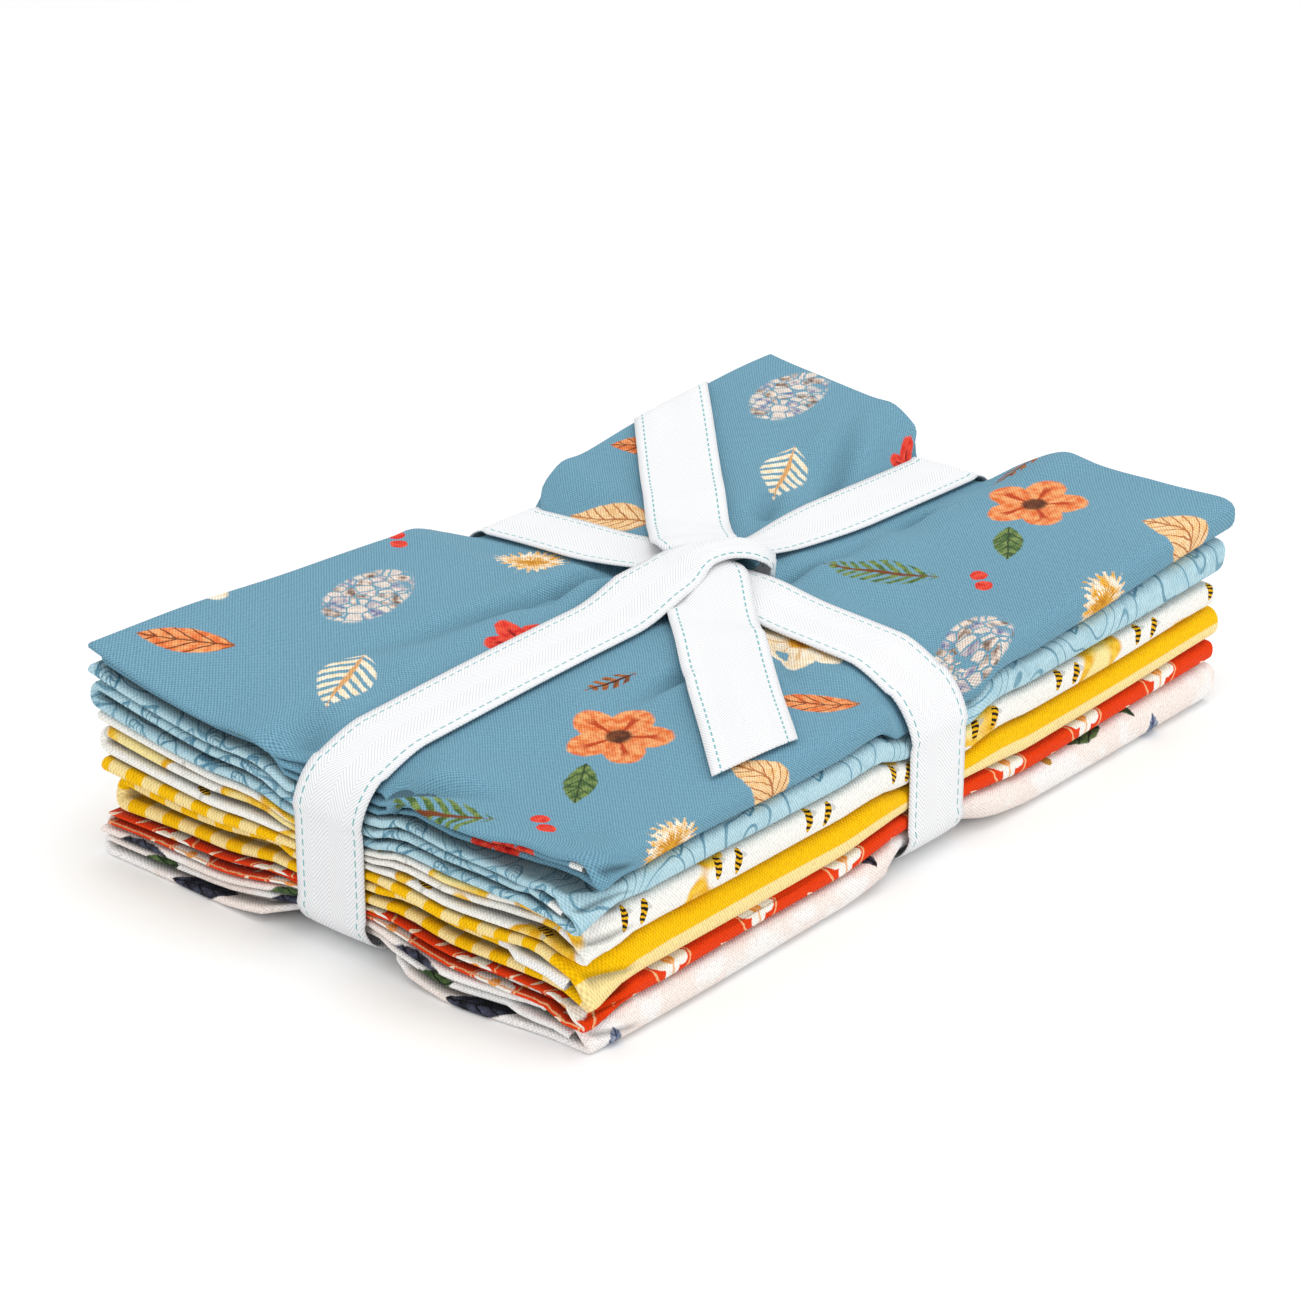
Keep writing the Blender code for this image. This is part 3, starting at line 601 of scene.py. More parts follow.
class Shade:
    """A value in a material's node tree. Arithmetic on it adds the nodes."""

    tree = None

    def __init__(self, socket):
        self.socket = socket

    @classmethod
    def node(cls, kind, *values, out=0, **settings):
        """Adds a node, sets it up, feeds its inputs in order and gives one of its outputs."""
        made = cls.tree.nodes.new(kind)
        for key, value in settings.items():
            setattr(made, key, value)
        for target, value in zip(made.inputs, values):
            cls.feed(target, value)
        return cls(made.outputs[out])

    @classmethod
    def feed(cls, target, value):
        if isinstance(value, Shade):
            cls.tree.links.new(value.socket, target)
        elif value is not None:
            target.default_value = value

    @classmethod
    def feed_all(cls, node, values):
        for socket, value in values.items():
            cls.feed(node.inputs[socket], value)

    def math(self, operation, *others):
        return Shade.node("ShaderNodeMath", self, *others, operation=operation)

    def vector(self, operation, *others, out=0):
        return Shade.node("ShaderNodeVectorMath", self, *others, out=out, operation=operation)

    __add__, __sub__ = operator("ADD"), operator("SUBTRACT")
    __mul__, __truediv__ = operator("MULTIPLY"), operator("DIVIDE")
    __mod__, __abs__ = operator("FLOORED_MODULO"), operator("ABSOLUTE")
    __and__, __or__ = operator("MINIMUM"), operator("MAXIMUM")
    sin, cos = operator("SINE"), operator("COSINE")

    def __rsub__(self, other):
        return Shade.node("ShaderNodeMath", other, self, operation="SUBTRACT")

    def step(self, edge, soft, *values):
        return Shade.node("ShaderNodeMapRange", self, edge - soft, edge + soft, *values,
                          interpolation_type="SMOOTHSTEP")

    def above(self, edge, soft=0.04):
        """1 where the value is above the edge, 0 below it."""
        return self.step(edge, soft, 0.0, 1.0)

    def below(self, edge, soft=0.04):
        return self.step(edge, soft, 1.0, 0.0)

    def stripes(self, pitch, share, soft=0.04):
        """1 on stripes that take up a share of each pitch."""
        return (abs((self / pitch) % 1.0 - 0.5) * 2).below(share, soft)


def colour_of(value):
    """A shade as it is, or display values from 0 to 255 as a material's linear ones."""
    if isinstance(value, Shade):
        return value
    return (*(((c / 255 + 0.055) / 1.055) ** 2.4 if c > 10 else c / 255 / 12.92
              for c in value), 1.0)


def mixed(first, second, share):
    """Colour between two, by a share from 0 to 1."""
    made = Shade.tree.nodes.new("ShaderNodeMix")
    made.data_type = "RGBA"
    Shade.feed_all(made, {0: share, 6: colour_of(first), 7: colour_of(second)})
    return Shade(made.outputs[2])


def noise(vector, scale, detail=2.0, out=0):
    return Shade.node("ShaderNodeTexNoise", vector, None, scale, detail, out=out)


def parts_of(vector):
    """The three coordinates of a vector."""
    made = Shade.tree.nodes.new("ShaderNodeSeparateXYZ")
    Shade.feed(made.inputs[0], vector)
    return [Shade(output) for output in made.outputs]


class Local:
    """A motif's own coordinates: a and b across it, r from its middle, each 1 at its rim."""

    def __init__(self, vector, x, y, turn, size, stretch=1.0):
        self.vector = Shade.node("ShaderNodeMapping", vector, (x, y, 0),
                                 (0, 0, math.radians(turn)), (size * stretch, size, 1),
                                 vector_type="TEXTURE")
        self.a, self.b, _ = parts_of(self.vector)

    @property
    def r(self):
        return self.vector.vector("LENGTH", out=1)

    @property
    def angle(self):
        return self.b.math("ARCTAN2", self.a)

    def disc(self, radius=1.0, soft=0.05):
        return self.r.below(radius, soft)

    def leaf(self, width=0.4, soft=0.03):
        """A pointed oval along a."""
        return (abs(self.b) - (1 - self.a * self.a) * width).below(0.0, soft)

    def petals(self, count, depth=0.35, phase=0.0):
        wave = abs((self.angle * (count / 2) + phase).cos())
        return (self.r - wave * depth).below(1.0 - depth, 0.04)


class Print:
    """The flat cloth's coordinates in millimetres, and the colour painted so far."""

    def __init__(self, ground, warp=0.7):
        self.flat = Shade.node("ShaderNodeAttribute", out=1, attribute_name="flat")
        self.mm = self.flat.vector("MULTIPLY", (1000.0, 1000.0, 0.0))
        shaken = noise(self.mm, 0.45, 3.0, out=1).vector("SUBTRACT", (0.5, 0.5, 0.5))
        self.drawn = self.mm.vector("ADD", shaken.vector("MULTIPLY", (2 * warp, 2 * warp, 0.0)))
        self.wash = noise(self.mm, 0.33, 4.0).above(0.5, 0.16)
        self.colour = ground

    def cell(self, width, height, shift=0.0, origin=(0.0, 0.0)):
        """Coordinates that repeat, from the middle of each cell; odd rows are shifted."""
        u, v, _ = parts_of(self.drawn)
        u, v = u - origin[0], v - origin[1]
        if shift:
            u = u + ((v / height).math("FLOOR") % 2.0) * (shift * width)
        return Shade.node("ShaderNodeCombineXYZ", u % width - width / 2,
                          v % height - height / 2, 0.0)

    def paint(self, colour, mask):
        self.colour = mixed(self.colour, colour, mask)

    def brush(self, dark, light, mask):
        """Paints in two tones that run into each other."""
        self.paint(mixed(dark, light, self.wash), mask)


def paint_flower(page, local, petal, heart, count=5, depth=0.35):
    mask = local.petals(count, depth)
    page.brush(petal[0], petal[1], mask)
    page.paint(petal[2], mask & (local.angle * count).cos().above(0.86, 0.1)
               & local.r.below(0.7, 0.1))
    page.brush(heart[0], heart[1], local.disc(0.24, 0.06))


def paint_leaf(page, local, tones, width=0.38, veins=5):
    mask = local.leaf(width)
    page.brush(tones[0], tones[1], mask)
    side = (local.a - abs(local.b) * 1.3).stripes(2.0 / veins, 0.16, 0.06)
    page.paint(tones[2], mask & (side | abs(local.b).below(0.025, 0.02)))


def paint_sprig(page, local, tones, width=0.42, needles=9):
    side = (local.a - abs(local.b) * 0.9).stripes(2.0 / needles, 0.56, 0.12)
    page.brush(tones[0], tones[1], local.leaf(width) & side)
    page.paint(tones[2], local.leaf(0.05, 0.02))


def paint_pebbles(page, local, tones, stretch, scale=2.6):
    """An oval filled with pebbles of several tones."""
    wide = local.vector.vector("MULTIPLY", (stretch, 1, 1))
    tint = Shade.node("ShaderNodeTexVoronoi", wide, None, scale, out=1)
    rim = Shade.node("ShaderNodeTexVoronoi", wide, None, scale, feature="DISTANCE_TO_EDGE")
    pick = Shade.node("ShaderNodeSeparateColor", tint)
    tone = mixed(mixed(tones[0], tones[1], pick.above(0.35, 0.05)), tones[2],
                 pick.above(0.7, 0.05))
    page.brush(tone, tones[3], local.disc(0.95, 0.06) & rim.above(0.06, 0.03))


def paint_tuft(page, local, tones):
    """A round head of ragged rays."""
    ragged = local.r + noise(page.mm, 0.9, 3.0) * 0.5 + (local.angle * 23).cos() * 0.1
    page.brush(tones[0], tones[1], ragged.below(1.0, 0.05))
    page.brush(tones[2], tones[0], ragged.below(0.62, 0.08))


CREAM = (247, 222, 182), (252, 240, 219), (232, 196, 148)
CORAL = (226, 110, 52), (245, 170, 110), (190, 70, 30)
GOLD = (232, 168, 40), (250, 215, 110), (200, 130, 30)
GREEN = (66, 98, 50), (128, 150, 84), (48, 70, 40)
BROWN = (120, 66, 36), (180, 110, 60), (80, 40, 24)
TAN = (238, 190, 130), (250, 214, 165), (220, 165, 104)
LILAC = (120, 126, 168), (205, 204, 222), (96, 84, 100)
RED = (214, 42, 34), (238, 84, 60), (150, 20, 20)
STONE = (214, 204, 196), (120, 96, 84), (110, 120, 160), (236, 220, 206)

# The top cloth's motifs in a cell of its print: painter, place, turn and size, tones and shape
BLUE_MOTIFS = (
    (paint_flower, (-68, 44, 20, 16), CORAL, (BROWN[2], BROWN[0]), 5, 0.34),
    (paint_leaf, (-41, 34, -35, 12), GREEN),
    (paint_sprig, (-3, 54, 64, 18), (GREEN[0], GREEN[1], BROWN[0])),
    (paint_flower, (50, 43, 8, 17), CREAM, (GOLD[0], GOLD[2]), 8, 0.25),
    (paint_leaf, (75, 15, 52, 13), (CORAL[0], CORAL[1], BROWN[0]), 0.46),
    (paint_pebbles, (18, 3, -14, 11, 1.8), STONE, 1.8),
    (paint_tuft, (-37, -10, 0, 13), (GOLD[0], CREAM[1], GOLD[2])),
    (paint_leaf, (-79, -5, 78, 15.5), (TAN[0], TAN[1], BROWN[1]), 0.5, 7),
    (paint_sprig, (58, -29, -28, 16), (CREAM[0], CREAM[1], TAN[2]), 0.5, 7),
    (paint_flower, (6, -49, 40, 12), RED, (BROWN[2], GOLD[0]), 6, 0.3),
    (paint_leaf, (29, -56, -12, 10.5), GREEN, 0.34),
    (paint_flower, (-63, -54, 0, 13), LILAC, (GOLD[1], GOLD[0]), 5, 0.3),
    (paint_sprig, (-89, 66, 10, 10), (BROWN[0], BROWN[1], BROWN[2]), 0.34, 5),
)
BERRIES = (-18, 28), (-14, 23), (86, -62), (82, -57), (90, -56)


def print_blue(page):
    cell = page.cell(196.0, 152.0, shift=0.5)
    for painter, at, *values in BLUE_MOTIFS:
        painter(page, Local(cell, *at), *values)
    for x, y in BERRIES:
        page.brush(RED[0], RED[1], Local(cell, x, y, 0, 2.7).disc())


def print_pale_blue(page):
    ink = (84, 138, 162)
    flow = noise(page.mm, 0.035, 1.0)
    page.paint(ink, flow.stripes(0.085, 0.13, 0.05) * 0.8)
    cell = page.cell(30.0, 19.0, shift=0.37)
    for x, y, turn, size, width in ((-8, 2, 30, 6.2, 0.5), (5, -3, -48, 5.4, 0.45),
                                    (10, 5, 12, 4.2, 0.55)):
        local = Local(cell, x, y, turn, size)
        rim = abs(abs(local.b) - (1 - local.a * local.a) * width)
        side = (local.a - abs(local.b) * 1.2).stripes(0.36, 0.3, 0.08) & local.leaf(width)
        page.paint(ink, (rim.below(0.06, 0.04) & abs(local.a).below(1.0)) | side * 0.8)
    page.paint((150, 192, 208), page.wash * noise(page.mm, 0.05).above(0.5, 0.1) * 0.5)


def print_cream(page):
    honey = noise(page.mm, 0.04, 1.5)
    page.brush((236, 172, 20), (250, 206, 70), honey.above(0.575, 0.014))
    page.paint((252, 232, 160), honey.above(0.64, 0.03))
    cell = page.cell(39.0, 21.0, shift=0.5, origin=(0.0, -7.0))
    for x, y, turn in ((-6, 1, 118), (2, 2, 110), (14, -7, 15)):
        wings = Local(cell, x - 1.6, y + 1.0, turn + 80, 2.2)
        page.paint((186, 186, 180), wings.leaf(0.4) * 0.6)
        body = Local(cell, x, y, turn, 1.35, 2.3)
        page.paint((236, 178, 16), body.disc())
        page.paint((30, 24, 20), body.disc() & body.a.stripes(0.42, 0.5, 0.12))


def print_stripe(page):
    place = parts_of(page.mm)[1] - STRIPE_FROM
    page.paint((254, 228, 158), place.stripes(2 * STRIPE, 0.5, 0.02))


def print_red(page):
    pitch = 38.0
    cell = page.cell(pitch, 19.0, shift=0.5, origin=(8.0, RED_ROW))
    local = Local(cell, 0, 0, 20, 7.0)
    peach = (248, 190, 140)
    page.paint(peach, abs(local.r - 1.12).below(0.045, 0.03))
    page.paint((252, 248, 240), local.petals(4, 0.42, 0.4))
    page.paint((244, 160, 60), local.disc(0.26))
    for x, y in ((-15, 5), (15, -6), (17, 4)):
        page.paint((252, 226, 200), Local(cell, x, y, 30, 1.5, 1.8).leaf(0.5))
    page.paint(peach, (parts_of(page.drawn)[0] - 8.0).stripes(pitch, 0.02, 0.01))


def print_blush(page):
    page.paint((253, 250, 248), noise(page.mm, 0.05, 3.0).above(0.52, 0.06))
    cell = page.cell(250.0, 52.0, shift=0.5, origin=BLUSH_FROM)
    dark = (((50, 72, 44), (96, 120, 70), (30, 40, 28)),
            ((34, 34, 44), (74, 78, 96), (16, 16, 20)),
            ((110, 124, 150), (168, 178, 198), (60, 70, 110)))
    for at, tones in zip(((-20, 8, 10, 10), (70, -12, 35, 8), (-54, -8, 80, 10),
                          (-41, 12, 70, 9), (84, 14, 80, 11), (-49, 18, 95, 9)), dark + dark):
        paint_leaf(page, Local(cell, *at), tones, 0.36)
    for x, y in ((-2, 6), (2, 9), (-30, -14)):
        page.paint((196, 150, 60), Local(cell, x, y, 0, 1.6).disc())


STRIPE = 6.35  # width of a stripe, in mm
STRIPE_FROM = 8.0  # where the stripes, the rows of flowers and the leaves start
RED_ROW = 9.0
BLUSH_FROM = (-40.0, 14.0)

# What each cloth is: its slot, ground colour and painter
CLOTHS = {
    "cloth_blush": ("cotton_blush", (250, 238, 231), print_blush),
    "cloth_red": ("cotton_red", (234, 62, 6), print_red),
    "cloth_stripe": ("cotton_stripe", (252, 194, 0), print_stripe),
    "cloth_cream": ("cotton_cream", (249, 247, 240), print_cream),
    "cloth_pale_blue": ("cotton_pale_blue", (184, 217, 227), print_pale_blue),
    "cloth_blue": ("cotton_blue", (112, 158, 179), print_blue),
}
THREADS = (1.06, 1.12)  # pitch of the visible weave along and across the cloth, in mm
WEAVE = {"cloth_blue": 0.36, "cloth_cream": 0.15, "cloth_blush": 0.15}  # how much it shows
SELVAGE = 5.0  # width of the unprinted edge, in mm
SELVAGE_SHOWN = {"cloth_stripe": 30.0, "cloth_blush": 40.0}  # wider where more of it shows
PAINTED_SHADE_STRENGTH = 0.6  # how much painted shade darkens the cloth deep between the turns at -X
EXPOSED = 0.80  # share of the light that the cloth's colours are set for

COTTON = {"Sheen Weight": 0.04, "Sheen Roughness": 0.5, "Specular IOR Level": 0.08}
TAPE = {"Sheen Weight": 0.15, "Specular IOR Level": 0.3}
TWILL_TURN, TWILL_PITCH = 6.35, 1.3  # the twill's ribs turn a quarter of the way in, in mm
TAPE_EDGE = 12.0  # past this the tape's edge is corded
DASHES_AT, DASH_PITCH = 9.9, 3.1


def new_fabric(name, ground, warp=0.7):
    """A material, and the page that its print is painted on."""
    material = bpy.data.materials.new(name)
    material.use_nodes = True
    Shade.tree = material.node_tree
    return material, Print(ground, warp)


def finish_fabric(page, light, roughness, constants, height, bump_depth):
    """Feeds the shader with the page's colour and the threads' height, and sets its constants."""
    bump = Shade.tree.nodes.new("ShaderNodeBump")
    Shade.feed_all(bump, {"Strength": 0.5, "Distance": bump_depth, "Height": height})
    Shade.feed_all(Shade.tree.nodes["Principled BSDF"], {
        "Base Color": page.colour.vector("SCALE", None, None, light), "Roughness": roughness,
        "Normal": Shade(bump.outputs[0]), **constants})


def wave(value, pitch):
    return (value * (2 * math.pi / pitch)).sin()


def cotton(name, width):
    """Printed cotton: the print, an unprinted selvage, the weave and its sheen, and painted shade
    between the turns at -X and in the top cloth's creases.
    """
    _, ground, painter = CLOTHS[name]
    material, page = new_fabric(name, ground)
    painter(page)
    u, v, _ = parts_of(page.mm)
    page.paint((250, 249, 247), v.below(SELVAGE_SHOWN.get(name, SELVAGE), 0.3)
               | v.above(width * 1000 - SELVAGE, 0.3))
    uneven = noise(page.mm, 0.6, 2.0)
    weave = wave(u, THREADS[0]) * wave(v, THREADS[1]) * (uneven + 0.35)
    slubs = noise(page.mm, 1.1, 3.0) - 0.5
    light = weave * WEAVE.get(name, 0.2) + slubs * 0.42 + noise(page.mm, 0.02, 3.0) * 0.08 + EXPOSED
    # Painted shade: darker deep between the turns at -X and in the top cloth's creases, from the
    # third flat coordinate
    light = light * (1.0 - parts_of(page.flat)[2] * PAINTED_SHADE_STRENGTH)
    finish_fabric(page, light, uneven * 0.12 + 0.80, COTTON, weave, 0.2 * MM)
    return material


def dress(obj, node, material):
    """The piece rides on the bundle's body, stands for a CAD node and has its own finish."""
    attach(obj, "root")
    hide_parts(node)
    obj.data.materials.append(material)


# The ribbon near the knot. Each table row is a station along one stretch of it, measured from
# the knot's middle: how far along and sideways, the rise above the cloth's run, the width and
# how much it arches
WRAP = ((13.0, -10.5, -1.5, 8.0, 1.0), (17.0, -12.0, -0.5, 12.0, 2.4), (17.4, -11.4, 3.0, 14.0, 3.0),
        (13.0, -8.6, 6.2, 14.5, 3.0), (5.0, -4.2, 7.8, 14.5, 2.6), (-4.0, -1.0, 7.4, 17.5, 1.6),
        (-12.0, 0.0, 4.6, 23.0, 0.8))
BACK_TAIL = ((0.0, 0.0, 1.0, 10.0, 1.0), (3.0, 0.0, 4.6, 15.0, 1.6), (8.0, 0.0, 6.6, 22.0, 1.6),
             (14.0, 0.0, 5.8, 25.4, 1.2), (24.0, 0.0, 3.2, 25.4, 0.6), (38.0, 0.0, 1.4, 25.4, 0.3))
FRONT_TAIL = ((-3.0, 0.0, 3.6, 12.0, 1.2), (2.0, 1.0, 5.0, 18.0, 1.8), (7.0, 1.4, 5.0, 23.0, 1.6),
              (13.0, 1.0, 4.0, 25.4, 1.0), (24.0, 0.4, 2.4, 25.4, 0.5), (42.0, 0.0, 1.2, 25.4, 0.2))
# The tails' stations, where each ends in plan, and how far its cut slants
TAILS = ((BACK_TAIL, (114 * MM, 104 * MM), -10 * MM),
         (FRONT_TAIL, (-71 * MM, -84.2 * MM), -9 * MM))
TAIL_BEND = 8.5 * MM
TAIL_BEND_FROM = 4 * MM  # the bend starts this far in from the side of the stack
TAIL_RISE, TAIL_RISE_FROM = 1.2, 42.0  # it sinks to the cloth evenly from here, in mm
TAIL_ON_CLOTH = 34 * MM  # from here it follows the cloth, and before it the knot
TAIL_SLANT_FROM = 30 * MM
TAIL_ARCH = 0.15
TAIL_STATIONS = 50.0, 8.0  # past its table, stations from here and this far apart, in mm
RIBBON_SHEET = 0.45 * MM
ACROSS = np.linspace(-1, 1, 13)
BAND_STEP, TAIL_STEP = 2.5 * MM, 2.0  # between stations, the tails' in mm
ARCH = 0.25 * MM  # the bands' own
GATHER = 0.9  # height in mm of the gathers where the ribbon is narrowed
GATHERS = 3.5 * math.pi

# How the bands change towards the knot: by how much there, and over what distance
KNOT_CLEAR = 1.5 * MM
WRAP_REACH = 20 * MM  # the wrap takes the band's place up to here
WRAP_LIFT = 8 * MM, 42 * MM
NARROW_X, LIFT_X, ARCH_X = (17 * MM, 72 * MM), (3.5 * MM, 40 * MM), (1.6 * MM, 60 * MM)
ARCH_AT_KNOT = 0.3 * MM
NARROW_Y, LIFT_Y = (9 * MM, 26 * MM), (2.6 * MM, 44 * MM)
CROSSING_DIP = 0.7 * MM, 48 * MM  # under the stack one band passes below the other
WRAP_SIDE = (0.62, 0.78, 0.0)  # the way the ribbon's width lies in the wrap
WRAP_TURNS = 16.0  # stations over which it turns to lie along Y


def band_run(half, pinches, start, plan):
    """A band's stations round the stack: distance from the knot, x, y and z, knot to knot."""
    bend = BEND_UNDER_RIBBON
    arc = bend + RIBBON_LIES + BEND_EASE
    angles = [math.pi / 2 * step / TURN_STEPS for step in range(1, TURN_STEPS)]
    turns = [(math.sin(angle), math.cos(angle)) for angle in angles]
    legs = []

    def height(number, s):
        return float(level(number, *plan(s)))

    for side, pinch in zip((-1, 1), pinches):
        edge = half - pinch
        flat_end, first = side * (edge - bend), start + side * KNOT_CLEAR
        high, low = height(TOP, side * edge), height(0, side * edge)
        leg = [(s, height(TOP, s) + RIBBON_LIES) for s in spaced(first, flat_end, 3 * MM)]
        leg += [(flat_end + side * arc * out,
                 height(TOP, flat_end + side * bend * out) - bend + arc * up) for out, up in turns]
        leg += [(side * (edge + RIBBON_LIES), high - bend + share * (low - high + 2 * bend))
                for share in spaced(0, 1, 0.1)]
        leg += [(flat_end + side * arc * out,
                 height(0, flat_end + side * bend * out) + bend - arc * down)
                for down, out in turns]
        leg += [(s, height(0, s) - RIBBON_LIES) for s in spaced(flat_end, first, 6 * MM)]
        legs.append(leg)
    return [(s - start, *(float(v) for v in in_plan(*plan(s))), z)
            for s, z in legs[0] + legs[1][::-1][1:]]


def curve_through(rows, step):
    """A smooth curve through rows of numbers, about a step (of the first three) apart."""
    rows = np.array(rows, dtype=float)
    padded = np.vstack([2 * rows[0] - rows[1], rows, 2 * rows[-1] - rows[-2]])
    made = []
    for i in range(1, len(padded) - 2):
        a, b, c, d = padded[i - 1:i + 3]
        count = max(1, round(np.linalg.norm(c[:3] - b[:3]) / step))
        for t in np.arange(count) / count:
            made.append(0.5 * (2 * b + (c - a) * t + (2 * a - 5 * b + 4 * c - d) * t ** 2
                               + (3 * b - a - 3 * c + d) * t ** 3))
    return np.vstack(made + [rows[-1:]])


def strip(centre, side, width, arch):
    """Points of a stretch of ribbon and its flat coordinates, from its stations."""
    ahead = np.gradient(centre, axis=0)
    ahead /= np.linalg.norm(ahead, axis=1)[:, None]
    up = np.cross(ahead, side)
    up /= np.linalg.norm(up, axis=1)[:, None]
    gathered = np.clip(1 - width / RIBBON_WIDTH, 0, 1)[:, None]
    share = ACROSS[None, :]
    lift = arch[:, None] * (1 - share ** 2) + gathered * GATHER * MM * np.cos(GATHERS * share)
    points = (centre[:, None] + side[:, None] * (share * width[:, None] / 2)[..., None]
              + up[:, None] * lift[..., None])
    return points, tape_flat(centre)


def tape_flat(centre):
    """The flat tape's coordinates for a line of stations."""
    return np.stack(np.broadcast_arrays(running_length(centre)[:, None],
                                        ACROSS[None, :] * RIBBON_WIDTH / 2, 0.0), axis=-1)


def knot_place():
    at = BAND_ALONG_Y_AT, BAND_ALONG_X_AT
    return np.array([*map(float, in_plan(*at)), float(level(TOP, *at)) + RIBBON_LIES])


def ease_out(distance, start, reach):
    """From start at the knot to 0 at the reach."""
    return start * float(1 - smooth_step(abs(distance) / reach))


def ribbon_along_x():
    """From the wrap over the knot, round the stack and back to the knot."""
    run = band_run(HALF_LENGTH, PINCH_ENDS, BAND_ALONG_Y_AT, lambda s: (s, BAND_ALONG_X_AT))
    knot = knot_place()
    rows = [(*(knot + MM * np.array(row[:3])), row[3] * MM, row[4] * MM) for row in WRAP]
    quarter = len(run) // 4
    for index, (distance, x, y, z) in enumerate(run):
        width, arch, lift = RIBBON_WIDTH, ARCH, 0.0
        if index < quarter:
            if distance > -WRAP_REACH:
                continue
            lift = ease_out(distance, *WRAP_LIFT)
        elif index > len(run) - quarter:
            width -= ease_out(distance, *NARROW_X)
            lift = ease_out(distance, *LIFT_X)
            arch = ARCH_AT_KNOT + ease_out(distance, *ARCH_X)
        rows.append((x, y, z + lift, width, arch))
    rows = curve_through(rows, BAND_STEP)
    turned = smooth_step(np.arange(len(rows)) / WRAP_TURNS)[:, None]
    side = np.array([0.0, 1.0, 0.0]) * turned + np.array(WRAP_SIDE) * (1 - turned)
    side /= np.linalg.norm(side, axis=1)[:, None]
    return strip(rows[:, :3], -side, rows[:, 3], rows[:, 4])


def ribbon_along_y():
    """Round the stack the other way, from the knot to the knot."""
    run = band_run(HALF_WIDTH, PINCH_SIDES, BAND_ALONG_X_AT, lambda s: (BAND_ALONG_Y_AT, s))
    rows = []
    quarter = len(run) // 4
    for index, (distance, x, y, z) in enumerate(run):
        width, lift = RIBBON_WIDTH, -ease_out(distance, *CROSSING_DIP)
        if index < quarter or index > len(run) - quarter:
            width -= ease_out(distance, *NARROW_Y)
            lift = ease_out(distance, *LIFT_Y)
        rows.append((x, y, z + lift, width, ARCH))
    rows = curve_through(rows, BAND_STEP)
    side = np.tile([1.0, 0.0, 0.0], (len(rows), 1))
    return strip(rows[:, :3], side, rows[:, 3], rows[:, 4])


def ribbon_tail(stations, end, cut_slant):
    """A free end of the ribbon, out of the knot and over the cloth to its oblique cut."""
    knot = knot_place()
    run = np.array(end) - knot[:2]
    reach = float(np.linalg.norm(run))
    ahead = run / reach
    sideways = np.array((-ahead[1], ahead[0]))
    rows, (start, step) = list(stations), TAIL_STATIONS
    rows += [(d, 0.0, TAIL_RISE * (reach / MM - d) / (reach / MM - TAIL_RISE_FROM),
              RIBBON_WIDTH / MM, TAIL_ARCH) for d in spaced(start, reach / MM, step)]
    rows = curve_through(rows, TAIL_STEP)
    along = rows[:, 0] * MM
    end_share = smooth_step((along - TAIL_SLANT_FROM) / (reach - TAIL_SLANT_FROM))
    near = smooth_step(along / TAIL_ON_CLOTH)
    gathered = np.clip(1 - rows[:, 3] / (RIBBON_WIDTH / MM), 0, 1)
    edge = HALF_WIDTH - TAIL_BEND_FROM
    points = []
    for share in ACROSS:
        length = along + end_share * cut_slant * share * (along / reach)
        aside = rows[:, 1] * MM + share * rows[:, 3] * MM / 2
        x, y = (knot[i] + ahead[i] * length + sideways[i] * aside for i in (0, 1))
        p, q = in_square_plan(x, y)
        past = np.maximum(q - edge, 0)
        turn = np.minimum(past / TAIL_BEND, math.pi / 2)
        drop = TAIL_BEND * (1 - np.cos(turn)) + past - TAIL_BEND * turn
        cloth = top_surface(p, np.minimum(q, edge)) + RIBBON_LIES - drop
        x, y = in_plan(p, np.minimum(q, edge) + TAIL_BEND * np.sin(turn))
        z = (cloth * near + knot[2] * (1 - near) + rows[:, 2] * MM
             + rows[:, 4] * MM * (1 - share ** 2)
             + gathered * GATHER * MM * math.cos(GATHERS * share))
        points.append(np.stack([x, y, z], axis=-1))
    points = np.stack(points, axis=1)
    return points, tape_flat(points[:, len(ACROSS) // 2])


def twill_tape():
    """White twill tape with a turquoise dashed line inside each edge."""
    material, page = new_fabric("ribbon_tape", (248, 249, 251), warp=0.08)
    along, aside, _ = parts_of(page.drawn)
    aside = abs(aside)
    ribs = wave(along + abs(aside - TWILL_TURN) * 1.2, TWILL_PITCH) * 0.5 + 0.5
    edge = aside.above(TAPE_EDGE, 0.2) * wave(along, 0.8)
    dashes = abs(aside - DASHES_AT).below(0.24, 0.12) & along.stripes(DASH_PITCH, 0.62, 0.06)
    page.paint((86, 178, 180), dashes * 0.9)
    light = ribs * 0.22 + noise(page.mm, 0.05, 2.0) * 0.04 + 0.64
    finish_fabric(page, light, ribs * 0.1 + 0.6, TAPE, ribs + edge * 0.6, 0.15 * MM)
    return material


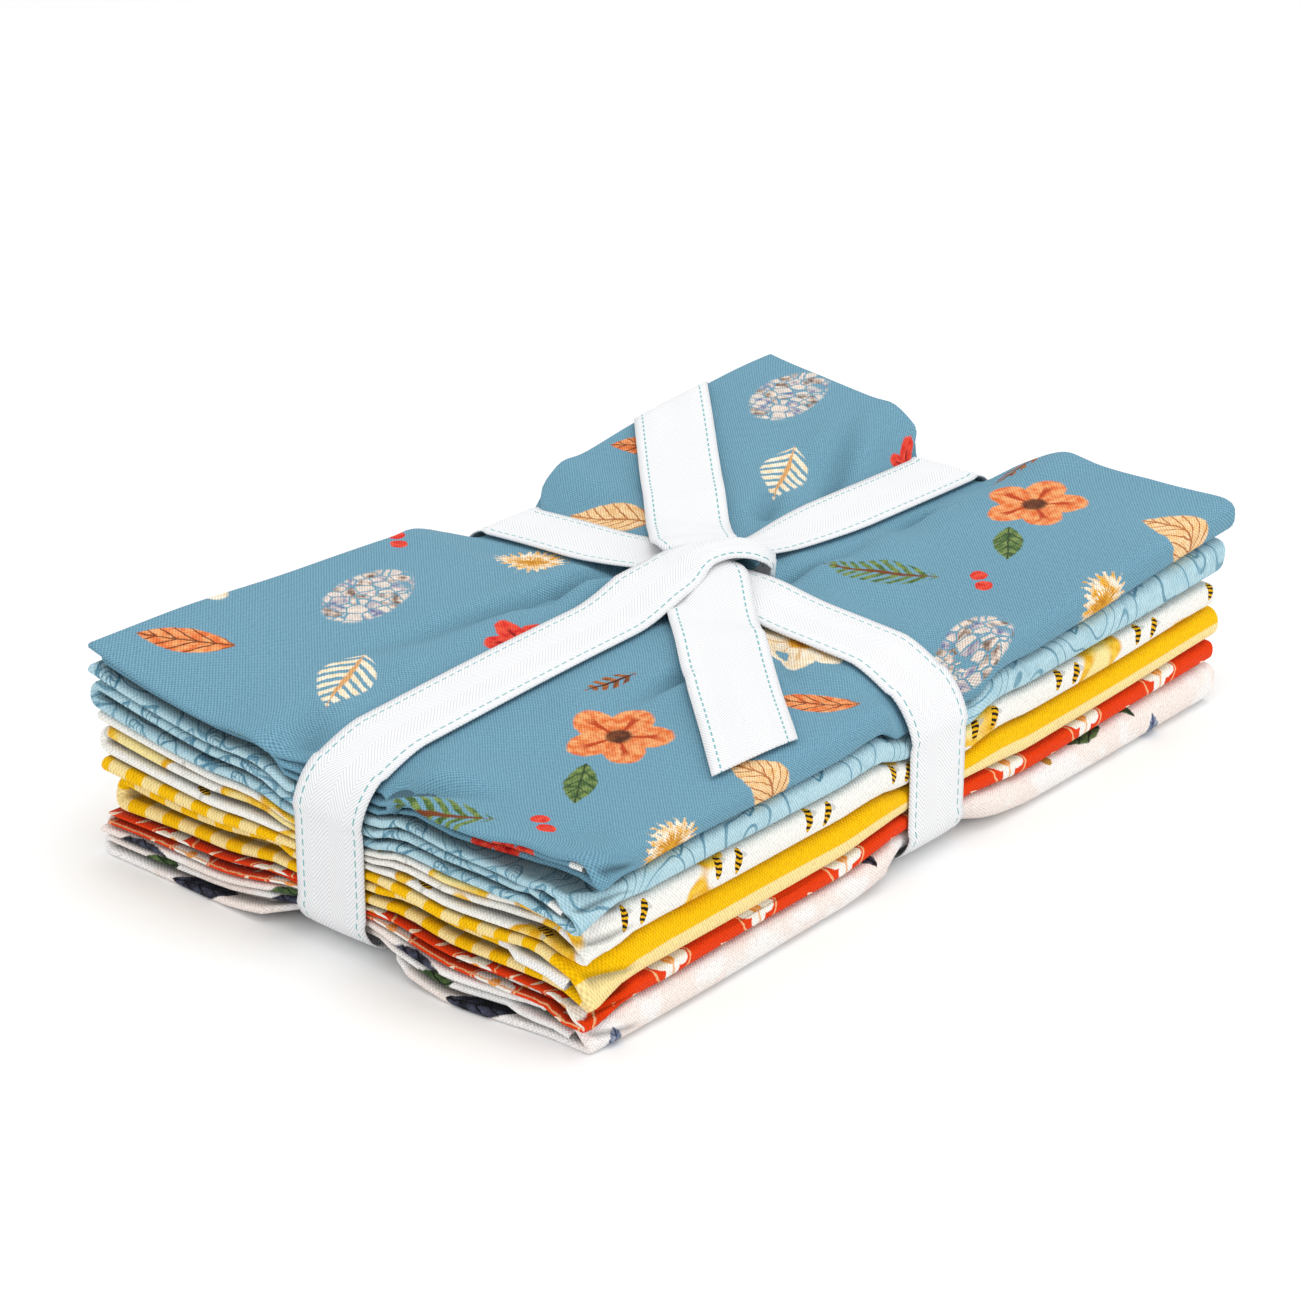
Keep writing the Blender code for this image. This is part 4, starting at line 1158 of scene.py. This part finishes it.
def make_ribbon():
    """The whole ribbon as one piece, and its length."""
    stretches = [ribbon_along_x(), ribbon_along_y()] + [ribbon_tail(*tail) for tail in TAILS]
    whole = bmesh.new()
    for points, flat in stretches:
        piece = grid_object("stretch", points, flat)
        thick = piece.modifiers.new("thickness", "SOLIDIFY")
        thick.thickness, thick.offset = RIBBON_SHEET, 0.0
        whole.from_mesh(piece.evaluated_get(bpy.context.evaluated_depsgraph_get()).to_mesh())
        bpy.data.objects.remove(piece)
    mesh = bpy.data.meshes.new("ribbon_tape")
    whole.to_mesh(mesh)
    whole.free()
    mesh.shade_smooth()
    length = sum(float(flat[-1, 0, 0] - flat[0, 0, 0]) for _, flat in stretches)
    return linked("ribbon_tape", mesh), length


def add_camera():
    data = bpy.data.cameras.new("photo_camera")
    data.lens = CAMERA_LENS
    data.sensor_width = SENSOR
    camera = linked("photo_camera", data)
    back = Vector((math.cos(CAMERA_ELEVATION) * math.cos(CAMERA_AZIMUTH),
                   math.cos(CAMERA_ELEVATION) * math.sin(CAMERA_AZIMUTH),
                   math.sin(CAMERA_ELEVATION)))
    camera.rotation_euler = (-back).to_track_quat("-Z", "Y").to_euler()
    camera.location = Vector(CAMERA_AT) + Vector((*STACK_AT, 0.0))
    bpy.context.scene.camera = camera


def add_lamp(name, place, size, watts):
    data = bpy.data.lights.new(name, "AREA")
    data.shape = "DISK"
    data.size = size
    data.energy = watts
    lamp = linked(name, data)
    lamp.location = place
    lamp.rotation_euler = (Vector(LAMPS_AIM_AT) - Vector(place)).to_track_quat("-Z", "Y").to_euler()


def add_studio():
    """A pale floor and soft light from above and from the camera's side."""
    mesh = bpy.data.meshes.new("floor")
    mesh.from_pydata([(-FLOOR, -FLOOR, 0), (FLOOR, -FLOOR, 0), (FLOOR, FLOOR, 0),
                      (-FLOOR, FLOOR, 0)], [], [(0, 1, 2, 3)])
    floor = linked("floor", mesh)
    material = bpy.data.materials.new("floor")
    material.use_nodes = True
    Shade.feed_all(material.node_tree.nodes["Principled BSDF"], PAPER)
    floor.data.materials.append(material)
    world = bpy.data.worlds.new("studio")
    world.use_nodes = True
    Shade.feed_all(world.node_tree.nodes["Background"], SKY)
    bpy.context.scene.world = world
    for lamp in LAMPS:
        add_lamp(*lamp)
    bpy.context.scene.view_settings.view_transform = "Standard"


def main():
    add_camera()
    add_studio()
    for number, cut in enumerate(CUT_ROWS):
        node = cut["name"]
        sheet, size = make_cloth(number)
        dress(sheet, node, cotton(node, size[1]))
    ribbon, length = make_ribbon()
    dress(ribbon, "ribbon", twill_tape())


main()
